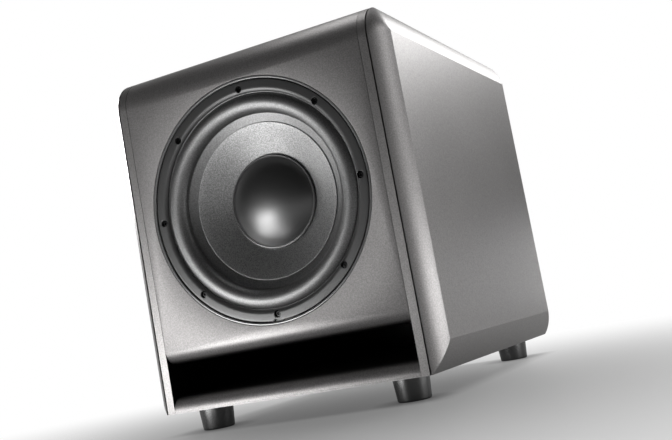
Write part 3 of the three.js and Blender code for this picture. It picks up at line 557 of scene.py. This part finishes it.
def make_boards():
    edge = (FRONT_Y + LIP_RADIUS, FLOOR_TOP - LIP_RADIUS)
    seam = 1.4
    outline = [(FRONT_Y, BOTTOM_Z), (REAR_Y, BOTTOM_Z), (REAR_Y, FLOOR_TOP),
               *arc(edge, LIP_RADIUS, 90, 180, 32),
               (FRONT_Y, BOTTOM_Z + seam + 0.7), (FRONT_Y + 0.8, BOTTOM_Z + seam + 0.35),
               (FRONT_Y, BOTTOM_Z + seam)]
    # Painted shade: the board's upward faces, the floor of the port among them, are matt black.
    add_piece("floor_board", prism(outline, along_x, -BOARD_HALF, BOARD_HALF), "lip_paint_shaded_top",
              replaces=["bottom_panel"], smooth=20)
    back, front = span("top_panel", 1)[1], span("top_panel", 1)[0]
    top = box(-BOARD_HALF, BOARD_HALF, front, back, TOP_Z - PANEL, TOP_Z)
    add_piece("top_board", top, "paint", replaces=["top_panel"], smooth=20, bevel=0.3)
    low, high = span("rear_panel", 2)
    inner_y = span("rear_panel", 1)[0]
    rear = box(-BOARD_HALF, BOARD_HALF, inner_y, REAR_FACE_Y, low, high)
    amp_low, amp_high = span("amp_plate", 2)
    half = span("amp_plate", 0)[1] - 12
    window = box(-half, half, inner_y - 5, REAR_FACE_Y + 5, amp_low + 12, amp_high - 12)
    # Painted shade: the board's inner face, which looks forward into the box, is matt black.
    add_piece("rear_board", carved(rear, [window]), "rear_paint_shaded_inside", replaces=["rear_panel"], smooth=20,
              bevel=0.3)


def make_feet():
    for place in ("front_left", "front_right", "rear_left", "rear_right"):
        low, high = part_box(f"foot_{place}")
        x, y = (low.x + high.x) / 2 / MM, (low.y + high.y) / 2 / MM
        top = high.z / MM
        profile = filleted([(2.3, 10), (7, 10), (7, 0), (14.8, 0), (17.75, 0.4), (19.6, top), (2.3, top)],
                           [0, 0, 0.8, 0, 3.2, 0.8, 0], steps=8)
        add_piece(f"rubber_foot_{place}", turned(profile, standing(x, y), steps=96), "foot",
                  replaces=[f"foot_{place}"], smooth=35)


# ---- Driver ---------------------------------------------------------------------------------------
def cone_depth(radius):
    return CONE_RIM_DEPTH + (CONE_RADIUS - radius) * CONE_SLOPE


def make_rings():
    trim_in, trim_out = FLANGE_RADIUS + 1.1, RECESS_RADIUS - 0.3
    trim_back = RECESS_DEPTH - 0.3
    trim = filleted([(trim_in, 0.3), (trim_out, 0.3), (trim_out, trim_back), (trim_in, trim_back)],
                    [1.0, 0.5, 0, 0], steps=6)
    add_piece("recess_trim", turned(trim, on_driver), "trim", replaces=["baffle_trim_ring"], smooth=40)

    cove = [(121.8 - 5.2 * math.cos(a), 4.8 - 3.3 * math.sin(a))
            for a in (math.pi / 2 * i / 12 for i in range(13))]
    edge = filleted([(FLANGE_RADIUS - 3, 1.5), (FLANGE_RADIUS, 1.5), (FLANGE_RADIUS, 6.7)], [0, 0.7, 0],
                    steps=5)
    ring = [(118.1, 6.7), (118.1, 5.2), (116.9, 5.2), *cove, *edge]
    holes = [turned([(0, -3), (SCREW_HOLE_RADIUS, -3), (SCREW_HOLE_RADIUS, 9), (0, 9)],
                    screw_axis(i), steps=40, closed=False) for i in range(SCREW_COUNT)]
    notch_z = DRIVER_Z - FLANGE_RADIUS
    notch = box(-5, 5, FRONT_Y - 2, FRONT_Y + 4.5, notch_z - 2, notch_z + 2.2)
    add_piece("flange_cover", carved(turned(ring, on_driver), [notch, *holes]), "satin",
              replaces=["flange_ring"], smooth=30, bevel=0.22)


def screw_axis(index):
    x, z = screw_place(index)
    return lambda u, v, depth: (x + u, FRONT_Y + depth, DRIVER_Z + z + v)


def make_driver_screws():
    for i in range(SCREW_COUNT):
        place = screw_axis(i)
        head = filleted([(0, 4.2), (3.3, 4.2), (3.3, 6.7), (2, 6.7), (2, 21), (1, 22), (0, 22)],
                        [0, 0.5, 0, 0, 0, 0, 0], steps=4)
        socket = turned([(0, 3), (1.85, 3), (1.6, 4.6), (1.6, 5.8), (0, 5.9)], place, steps=6, closed=False)
        body = carved(turned(head, place, steps=36, closed=False), [socket])
        add_piece(f"flange_screw_{i + 1}", body, "black_steel", replaces=[f"driver_screw_{i + 1}"],
                  smooth=30)


def roll_profile():
    """The surround's section: an inner lip glued behind the cone's edge, the roll, and the outer lip."""
    gap, lip = CONE_THICKNESS + 0.3, 1.0
    lip_inner, valley = CONE_RADIUS - 6.4, ROLL_CENTRE - ROLL_RADIUS

    def point(degrees, inset):
        angle = math.radians(degrees)
        radius = ROLL_RADIUS - inset
        return ROLL_CENTRE + radius * math.cos(angle), ROLL_CENTRE_DEPTH - radius * math.sin(angle)

    slope = [(lip_inner + (valley - 1.6 - lip_inner) * i / 10) for i in range(11)]
    foot = filleted([(valley - 1.6, cone_depth(valley - 1.6) + gap),
                     (valley + 0.3, cone_depth(valley) + gap),
                     point(160, 0)], [0, 1.6, 0], steps=5)[1:-1]
    front = [point(160 - 3 * i, 0) for i in range(41)]
    back = [point(50 + 4 * i, 1.2) for i in range(28)]
    return [*[(r, cone_depth(r) + gap) for r in slope], *foot, *front, (117.8, 5.5), (117.8, 6.7),
            (113.6, 6.7), *back, (valley + 1, cone_depth(valley + 1) + gap + lip),
            (lip_inner, cone_depth(lip_inner) + gap + lip)]


def blend_by_radius(piece):
    """Bakes the placement of a membrane piece into its mesh."""
    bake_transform(piece)


def make_surround():
    piece = add_piece("surround_roll", turned(roll_profile(), on_driver), "rubber", replaces=["surround"],
                      smooth=50, ride=False)
    blend_by_radius(piece)


def make_cone():
    neck = COIL_RADIUS + 0.4
    face = [neck + (CONE_RADIUS - 0.8 - neck) * i / 8 for i in range(9)]
    edge = [(CONE_RADIUS - 0.35, cone_depth(CONE_RADIUS - 0.35) + 0.08),
            (CONE_RADIUS - 0.1, cone_depth(CONE_RADIUS) + 0.3),
            (CONE_RADIUS, cone_depth(CONE_RADIUS) + 0.55)]
    profile = [*[(r, cone_depth(r)) for r in face], *edge,
               (CONE_RADIUS, cone_depth(CONE_RADIUS) + CONE_THICKNESS),
               (neck, cone_depth(neck) + CONE_THICKNESS)]
    add_piece("cone_shell", turned(profile, on_driver), "cone", body="moving_assembly", replaces=["cone"],
              smooth=30)


def make_dust_cap():
    dome_radius = CAP_RADIUS - 2.4
    rise = cone_depth(CAP_RADIUS) - 2 - CAP_APEX_DEPTH

    def dome(share, inset):
        drop = rise * (1 - math.sqrt(1 - 0.75 * share ** 2)) * 2
        return dome_radius * share, CAP_APEX_DEPTH + inset + drop

    shares = [i / 32 for i in range(33)]
    outer = cone_depth(CAP_RADIUS)
    rim = filleted([(dome_radius + 0.5, outer - 2.0), (dome_radius + 0.9, outer - 3.0),
                    (CAP_RADIUS - 0.2, outer - 2.6), (CAP_RADIUS, outer - 0.45)], [0, 0.4, 0.7, 0], steps=4)
    profile = [*[dome(s, 0) for s in shares], *rim, (dome_radius - 1, cone_depth(dome_radius - 1) - 0.45),
               *[dome(s, 1.2) for s in reversed(shares[:-1])]]
    add_piece("cap_dome", turned(profile, on_driver, closed=False), "cap", body="moving_assembly",
              replaces=["dust_cap"], smooth=30)


def make_spider():
    steps = 48
    wave = [(37 + 28 * i / steps, 69.2 - 1.6 * math.sin(3 * math.pi * i / steps)) for i in range(steps + 1)]
    profile = [(33.2, 69.2), *wave, (75, 69.8), (75, 70.7), *[(r, d + 0.9) for r, d in reversed(wave)],
               (33.2, 70.1)]
    piece = add_piece("spider_disc", turned(profile, on_driver, steps=96), "cloth", replaces=["spider"],
                      smooth=50, ride=False)
    blend_by_radius(piece)


# ---- Amplifier ------------------------------------------------------------------------------------
CONTROL_Z = 228
JACK_Z = 172
POWER_Z = 142
KNOBS = (("level_knob", 70), ("crossover_knob", 20))
SLIDERS = (("phase_slider", -28), ("mode_slider", -68))
JACKS = (("rca_jack_left", 84, "insert_white"), ("rca_jack_right", 58, "insert_red"))
INLET_X = -70
SWITCH_X = -16


SLIDER_WINDOW = (5, 2)  # half width and half height of each window through the plate
SWITCH_WINDOW = (8.8, 13.3)
INLET_WINDOW = (14.3, 10.5)


def make_amp_plate():
    x0, x1 = span("amp_plate", 0)
    z0, z1 = span("amp_plate", 2)
    y0 = span("amp_plate", 1)[0]
    outline = filleted([(x0, z0), (x1, z0), (x1, z1), (x0, z1)], 5, steps=8)
    windows = [(x, CONTROL_Z, *SLIDER_WINDOW) for _, x in SLIDERS]
    windows.append((SWITCH_X, POWER_Z, *SWITCH_WINDOW))
    windows.append((INLET_X, POWER_Z, *INLET_WINDOW))
    cuts = [box(x - half_x, x + half_x, y0 - 1, PLATE_FACE_Y + 1, z - half_z, z + half_z)
            for x, z, half_x, half_z in windows]
    add_piece("rear_plate", carved(prism(outline, along_y, y0, PLATE_FACE_Y), cuts), "plate",
              replaces=["amp_plate"], smooth=30)

    low = PLATE_FACE_Y + 0.3
    for number in (1, 2, 3, 4):
        a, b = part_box(f"amp_screw_{number}")
        x, z = (a.x + b.x) / 2 / MM, (a.z + b.z) / 2 / MM
        head = filleted([(0, low), (3.4, low), (3.2, low + 1.2), (0, low + 2.0)], [0, 0, 0.6, 0], steps=4)
        slots = [box(x - 2.1, x + 2.1, low + 0.9, low + 4, z - 0.45, z + 0.45),
                 box(x - 0.45, x + 0.45, low + 0.9, low + 4, z - 2.1, z + 2.1)]
        shank = turned([(0, a.y / MM), (1.7, a.y / MM + 1), (1.7, low + 0.2), (0, low + 0.2)],
                       facing_rear(x, z), steps=16, closed=False)
        body = carved(turned(head, facing_rear(x, z), steps=36, closed=False), slots)
        add_piece(f"plate_screw_{number}", joined(body, shank), "black_steel",
                  replaces=[f"amp_screw_{number}"], smooth=30)


def make_heatsink():
    z0, z1 = span("heatsink", 2)
    base = PLATE_FACE_Y + 0.3
    fins, pitch = 15, 12.4
    outline = [(-92, base), (92, base), (92, base + 3)]
    for i in reversed(range(fins)):
        x = (i - (fins - 1) / 2) * pitch
        outline += [(x + 1.2, base + 3), (x + 0.95, base + 13), (x - 0.95, base + 13), (x - 1.2, base + 3)]
    outline.append((-92, base + 3))
    add_piece("fin_block", prism(outline, lambda u, v, w: (u, v, w), z0, z1), "heatsink",
              replaces=["heatsink"], smooth=30, bevel=0.3)


def make_knobs():
    face = CONTROL_FACE_Y
    for name, x in KNOBS:
        profile = filleted([(0, face), (9.5, face), (9.4, face + 1.4), (8.9, face + 1.8), (8.5, face + 11),
                            (7.9, face + 12), (0, face + 11.6)], [0, 0.3, 0.3, 0.3, 0.6, 0.5, 0], steps=4)

        def flutes(radius, depth, angle):
            grip = face + 2 < depth < face + 11.2 and radius > 8
            return -0.32 * (0.5 + 0.5 * math.cos(30 * angle)) ** 2 if grip else 0

        barrel = [p for p in profile]
        extra = [(8.9 - 0.4 * i / 8, face + 2.1 + 8.6 * i / 8) for i in range(9)]
        low_part = [p for p in barrel if p[1] < face + 2.1 and p[0] > 1 or p == barrel[0]]
        high_part = [p for p in barrel if p not in low_part]
        shape = turned([*low_part, *extra, *high_part], facing_rear(x, CONTROL_Z), steps=180, closed=False,
                       wobble=flutes)
        shaft = turned([(0, REAR_FACE_Y - 18), (3, REAR_FACE_Y - 17.5), (3, face + 1), (0, face + 1)],
                       facing_rear(x, CONTROL_Z), steps=32, closed=False)
        add_piece(f"{name}_grip", joined(shape, shaft), "knob", body=name, replaces=[name], smooth=32)
        line = box(x - 0.5, x + 0.5, face + 11.2, face + 12, CONTROL_Z + 2.2, CONTROL_Z + 7.6)
        add_piece(f"{name}_line", line, "marking", body=name, smooth=30, bevel=0.12)


def make_markings():
    """Tick marks round the knobs and beside the switches, printed on the plate."""
    y0, y1 = PLATE_FACE_Y, PLATE_FACE_Y + 0.12
    bars = []
    for _, x in KNOBS:
        for i in range(11):
            angle = math.radians(-60 + 30 * i)
            inner, outer, half = 12.2, (15.0 if i in (0, 5, 10) else 13.8), 0.28
            direction = Vector((math.cos(angle), math.sin(angle)))
            across = Vector((-direction.y, direction.x)) * half
            corners = [direction * inner - across, direction * outer - across, direction * outer + across,
                       direction * inner + across]
            bars.append(prism([(x + c.x, CONTROL_Z + c.y) for c in corners], along_y, y0, y1))
    for _, x in SLIDERS:
        for dx in (-2.5, 2.5):
            bars.append(box(x + dx - 0.3, x + dx + 0.3, y0, y1, CONTROL_Z + 4, CONTROL_Z + 6.5))
    for x in (58, 84):
        ring = [(8.2, y0), (8.6, y0), (8.6, y1), (8.2, y1)]
        bars.append(turned(ring, facing_rear(x, JACK_Z), steps=64))
    bars.append(box(46, 96, y0, y1, JACK_Z + 14, JACK_Z + 14.4))
    add_piece("plate_marks", joined(*bars), "marking", smooth=30)


def make_sliders_and_jacks():
    face = CONTROL_FACE_Y
    for name, _ in SLIDERS:
        low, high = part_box(name)
        stem = box(low.x / MM, high.x / MM, low.y / MM, high.y / MM, low.z / MM, high.z / MM)
        add_piece(f"{name}_stem", stem, "plastic", body=name, replaces=[name], smooth=30, bevel=0.35)
    for name, x, insert in JACKS:
        sleeve = filleted([(3.4, face + 9), (4.15, face + 9), (4.15, face + 1.6), (6.2, face + 1.6),
                           (6.2, face), (4.2, face), (4.2, REAR_FACE_Y - 12), (3.4, REAR_FACE_Y - 12)],
                          [0.2, 0.35, 0.2, 0.35, 0, 0, 0, 0], steps=4)
        add_piece(f"{name}_sleeve", turned(sleeve, facing_rear(x, JACK_Z), steps=64), "nickel",
                  replaces=[name], smooth=32)
        core = filleted([(1.7, face + 7.6), (3.35, face + 7.6), (3.35, REAR_FACE_Y - 11.5),
                         (1.7, REAR_FACE_Y - 11.5)], [0.3, 0, 0, 0], steps=3)
        add_piece(f"{name}_insert", turned(core, facing_rear(x, JACK_Z), steps=48), insert, smooth=32)
    low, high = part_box("status_led")
    x, z = (low.x + high.x) / 2 / MM, (low.z + high.z) / 2 / MM
    top = high.y / MM
    dome = [(2.5 * math.cos(math.radians(a)), top - 1.5 + 1.5 * math.sin(math.radians(a)))
            for a in range(0, 91, 9)]
    lens = [(0, low.y / MM), (2.5, low.y / MM), *dome[:-1], (0, top)]
    add_piece("led_window", turned(lens, facing_rear(x, z), steps=48, closed=False), "lens",
              replaces=["status_led"], smooth=40)


def make_mains():
    face = CONTROL_FACE_Y
    flange_outline = filleted([(INLET_X - 25, POWER_Z - 8), (INLET_X - 18, POWER_Z - 14),
                               (INLET_X + 18, POWER_Z - 14), (INLET_X + 25, POWER_Z - 8),
                               (INLET_X + 25, POWER_Z + 8), (INLET_X + 18, POWER_Z + 14),
                               (INLET_X - 18, POWER_Z + 14), (INLET_X - 25, POWER_Z + 8)], 1.5, steps=4)
    flange = prism(flange_outline, along_y, face, face + 2.5)
    socket_outline = filleted([(INLET_X - 12, POWER_Z - 8), (INLET_X + 12, POWER_Z - 8),
                               (INLET_X + 12, POWER_Z + 3), (INLET_X + 7, POWER_Z + 8),
                               (INLET_X - 7, POWER_Z + 8), (INLET_X - 12, POWER_Z + 3)], 1.0, steps=4)
    hole = prism(socket_outline, along_y, REAR_FACE_Y - 12, face + 5)
    shell = box(INLET_X - 14, INLET_X + 14, REAR_FACE_Y - 20, face + 0.5, POWER_Z - 10.2, POWER_Z + 10.2)
    add_piece("inlet_flange", carved(flange, [hole]), "plastic", replaces=["mains_inlet"], smooth=30,
              bevel=0.35)
    add_piece("inlet_well", carved(shell, [hole]), "plastic", smooth=30)
    pins = [box(INLET_X + dx - 1, INLET_X + dx + 1, REAR_FACE_Y - 14, REAR_FACE_Y - 1,
                POWER_Z + dz - 2, POWER_Z + dz + 2) for dx, dz in ((-7, -1.5), (7, -1.5), (0, 2.5))]
    add_piece("inlet_pins", joined(*pins), "nickel", smooth=30, bevel=0.3)

    frame_corners = [(SWITCH_X - 11, POWER_Z - 15.5), (SWITCH_X + 11, POWER_Z - 15.5),
                     (SWITCH_X + 11, POWER_Z + 15.5), (SWITCH_X - 11, POWER_Z + 15.5)]
    frame_outline = filleted(frame_corners, 1.5, steps=5)
    well = box(SWITCH_X - 7, SWITCH_X + 7, REAR_FACE_Y - 12, face + 5, POWER_Z - 11.5, POWER_Z + 11.5)
    bezel = prism(frame_outline, along_y, face, face + 2)
    body = box(SWITCH_X - 8.5, SWITCH_X + 8.5, REAR_FACE_Y - 16, face + 0.5, POWER_Z - 13, POWER_Z + 13)
    add_piece("switch_bezel", carved(bezel, [well]), "plastic", replaces=["switch_housing"], smooth=30,
              bevel=0.35)
    add_piece("switch_body", carved(body, [well]), "plastic", smooth=30)
    make_rocker()


def make_rocker():
    """The two faces meet in a shallow hollow over the pivot; at rest the lower half is pressed in."""
    tilt = math.radians(7)
    dished = [(3.4 + 1.5 * (z / 9.4) ** 2, z) for z in (-7, -4.5, -2, 0, 2, 4.5, 7)]
    corners = [(-4, -9.4), (4.9, -9.4), *dished, (4.9, 9.4), (-4, 9.4), (-6, 0)]
    outline = filleted(corners, [0.5, 0.7, 0, 0, 0, 0, 0, 0, 0, 0.7, 0.5, 0])
    turned_points = [(PLATE_FACE_Y + y * math.cos(tilt) + z * math.sin(tilt),
                      POWER_Z + z * math.cos(tilt) - y * math.sin(tilt)) for y, z in outline]
    rocker = prism(turned_points, along_x, SWITCH_X - 6.5, SWITCH_X + 6.5)
    add_piece("rocker_cap", rocker, "knob", body="power_rocker", replaces=["power_rocker"], smooth=30,
              bevel=0.3)


# ---- Finishes of the CAD nodes that stay -----------------------------------------------------------
def dress_frame_nodes():
    kept = {
        "board": ["port_shelf", "cross_brace"],
        "steel": [f"foot_screw_{a}_{b}" for a in ("front", "rear") for b in ("left", "right")]
        + ["top_plate", "back_yoke"],
        "gasket": ["driver_gasket"],
        "cast": ["basket"],
        "former": ["coil_former"],
        "copper": ["voice_coil", "transformer"],
        "ferrite": ["magnet"],
        "plastic": ["terminal_strip"],
        "circuit": ["amp_board"],
        "lead_red": ["lead_positive"],
        "lead_black": ["lead_negative"],
    }
    for look, names in kept.items():
        for name in names:
            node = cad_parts[name]
            for material_slot in node.material_slots:
                material_slot.material = looks[look]


# ---- Studio ---------------------------------------------------------------------------------------
def make_camera():
    data = bpy.data.cameras.new("camera")
    data.lens = 53.07
    data.sensor_width = 36
    data.clip_start = 0.01
    camera = bpy.data.objects.new("camera", data)
    right = Vector((0.88386, 0.43216, -0.17897))
    up = Vector((0.20562, -0.01532, 0.97851))
    back = Vector((0.42014, -0.90166, -0.10240))
    turn = Matrix((right, up, back)).transposed().to_4x4()
    camera.matrix_world = Matrix.Translation((0.5124, -1.1406, 0.0910)) @ turn
    bpy.context.scene.collection.objects.link(camera)
    bpy.context.scene.camera = camera


def make_floor():
    """A disc that glows as painted light, up to the backdrop's white far from the object. Near the
    object the glow is dimmed as painted shade, and ambient occlusion within 3 cm paints shadows
    under and around it. The camera sees the glow at full strength and everything else at half, so
    it lights the object less."""
    points, faces = turned([(0, 0), (300, 0), (900, 0), (2500, 0), (8000, 0)], standing(0, 0), steps=96,
                           closed=False)
    mesh = bpy.data.meshes.new("floor")
    mesh.from_pydata([Vector(p) * MM for p in points], [], faces)
    floor = bpy.data.objects.new("floor", mesh)
    bpy.context.scene.collection.objects.link(floor)
    material = bpy.data.materials.new("studio_floor_painted_light")
    material.use_nodes = True
    tree = material.node_tree
    shader = tree.nodes["Principled BSDF"]
    shader.inputs["Roughness"].default_value = 0.6
    shader.inputs["Specular IOR Level"].default_value = 0.3
    shader.inputs["Base Color"].default_value = (0.07, 0.07, 0.07, 1)
    where = tree.nodes.new("ShaderNodeTexCoord").outputs["Object"]
    distance = tree.nodes.new("ShaderNodeVectorMath")
    distance.operation = "DISTANCE"
    distance.inputs[1].default_value = (0.03, -0.25, 0)
    tree.links.new(where, distance.inputs[0])
    # Painted shade: the glow's share is 0.2 near a point on the floor at the cabinet's front and grows to
    # full 1.05 m away.
    painted_glow_share = tree.nodes.new("ShaderNodeMapRange")
    painted_glow_share.interpolation_type = "SMOOTHSTEP"
    painted_glow_share.inputs["From Max"].default_value = 1.05
    painted_glow_share.inputs["To Min"].default_value = 0.20
    tree.links.new(distance.outputs["Value"], painted_glow_share.inputs["Value"])
    glow = tree.nodes.new("ShaderNodeEmission")
    mix = tree.nodes.new("ShaderNodeMixShader")
    tree.links.new(painted_glow_share.outputs["Result"], mix.inputs["Fac"])
    tree.links.new(shader.outputs["BSDF"], mix.inputs[1])
    tree.links.new(glow.outputs["Emission"], mix.inputs[2])
    tree.links.new(mix.outputs["Shader"], tree.nodes["Material Output"].inputs["Surface"])
    seen = tree.nodes.new("ShaderNodeMapRange")
    seen.inputs["To Min"].default_value = 0.5
    path = tree.nodes.new("ShaderNodeLightPath")
    tree.links.new(path.outputs["Is Camera Ray"], seen.inputs["Value"])
    tree.links.new(seen.outputs["Result"], glow.inputs["Strength"])
    # Painted shadow: ambient occlusion within 3 cm darkens the glow under and around the object.
    painted_contact_shadow = tree.nodes.new("ShaderNodeAmbientOcclusion")
    painted_contact_shadow.inputs["Distance"].default_value = 0.03
    tree.links.new(painted_contact_shadow.outputs["Color"], glow.inputs["Color"])
    floor.data.materials.append(material)


def make_world():
    """A studio seen from the object: bright behind it and overhead, dim in front of it."""
    world = bpy.data.worlds.new("studio")
    world.use_nodes = True
    tree = world.node_tree
    tree.nodes.clear()
    output = tree.nodes.new("ShaderNodeOutputWorld")
    where = tree.nodes.new("ShaderNodeTexCoord").outputs["Generated"]
    split = tree.nodes.new("ShaderNodeSeparateXYZ")
    tree.links.new(where, split.inputs["Vector"])

    def rise(axis, start, end, low, high):
        node = tree.nodes.new("ShaderNodeMapRange")
        node.interpolation_type = "SMOOTHSTEP"
        node.inputs["From Min"].default_value = start
        node.inputs["From Max"].default_value = end
        node.inputs["To Min"].default_value = low
        node.inputs["To Max"].default_value = high
        tree.links.new(split.outputs[axis], node.inputs["Value"])
        return node.outputs["Result"]

    def maths(operation, a, b):
        node = tree.nodes.new("ShaderNodeMath")
        node.operation = operation
        for socket, value in zip(node.inputs, (a, b)):
            if isinstance(value, (int, float)):
                socket.default_value = value
            else:
                tree.links.new(value, socket)
        return node.outputs["Value"]

    behind = maths("MULTIPLY", rise("Y", 0.05, 0.7, 0.0, 1.0), rise("Z", 0.10, 0.42, 0.03, 0.3))
    total = maths("ADD", behind, 0.02)

    lit = tree.nodes.new("ShaderNodeBackground")
    lit.inputs["Color"].default_value = (1, 1, 1, 1)
    tree.links.new(total, lit.inputs["Strength"])
    seen = tree.nodes.new("ShaderNodeBackground")
    seen.inputs["Strength"].default_value = 1.0
    seen.inputs["Color"].default_value = (1, 1, 1, 1)
    path = tree.nodes.new("ShaderNodeLightPath")
    mix = tree.nodes.new("ShaderNodeMixShader")
    tree.links.new(path.outputs["Is Camera Ray"], mix.inputs["Fac"])
    tree.links.new(lit.outputs["Background"], mix.inputs[1])
    tree.links.new(seen.outputs["Background"], mix.inputs[2])
    tree.links.new(mix.outputs["Shader"], output.inputs["Surface"])
    bpy.context.scene.world = world


def make_light(name, place, aim, width, height, power):
    data = bpy.data.lights.new(name, "AREA")
    data.shape = "RECTANGLE"
    data.size, data.size_y = width, height
    data.energy = power
    light = bpy.data.objects.new(name, data)
    light.location = place
    light.rotation_mode = "QUATERNION"
    light.rotation_quaternion = (Vector(aim) - Vector(place)).to_track_quat("-Z", "Y")
    bpy.context.scene.collection.objects.link(light)
    light.visible_camera = False


def make_lights():
    """Low lights at the object's front left and right; a large one high behind it at the right."""
    make_light("key", (-0.36, -0.66, 0.07), (-0.28, -0.52, 0.6), 0.30, 0.46, 2.4)
    make_light("key_far", (-0.52, -1.0, 0.06), (0, -0.2, 0.22), 0.40, 0.12, 1.5)
    make_light("sill", (-0.18, -0.40, 0.01), (-0.18, -0.25, 0.3), 0.30, 0.14, 0.25)
    make_light("left_side", (-1.1, -0.45, 0.2), (0, -0.22, 0.23), 0.2, 0.3, 1.2)
    make_light("right_low", (0.80, -0.08, 0.10), (0.15, -0.2, 0.12), 0.5, 0.14, 1.8)
    make_light("right_high", (1.35, -0.1, 0.8), (0, 0, 0.25), 0.45, 0.5, 2.6)
    make_light("rear_right", (0.9, 1.45, 1.2), (0, 0, 0.25), 0.9, 0.7, 18.0)
    make_light("left_rear", (-1.1, 0.3, 0.65), (0, 0, 0.25), 0.5, 0.4, 12.0)
    make_light("rear_low", (0.0, 1.7, 0.15), (0, 0, 0.2), 0.8, 0.25, 4.0)
    make_light("top", (0.0, 0.0, 1.7), (0, 0, 0.3), 0.8, 0.8, 6.0)


# ---- The whole ------------------------------------------------------------------------------------
make_camera()
make_floor()
make_world()
make_lights()
bpy.context.scene.view_settings.view_transform = "Standard"

make_baffle()
make_side_panels()
make_cheeks()
make_boards()
make_feet()
make_rings()
make_driver_screws()
make_surround()
make_cone()
make_dust_cap()
make_spider()
make_amp_plate()
make_heatsink()
make_knobs()
make_markings()
make_sliders_and_jacks()
make_mains()
dress_frame_nodes()
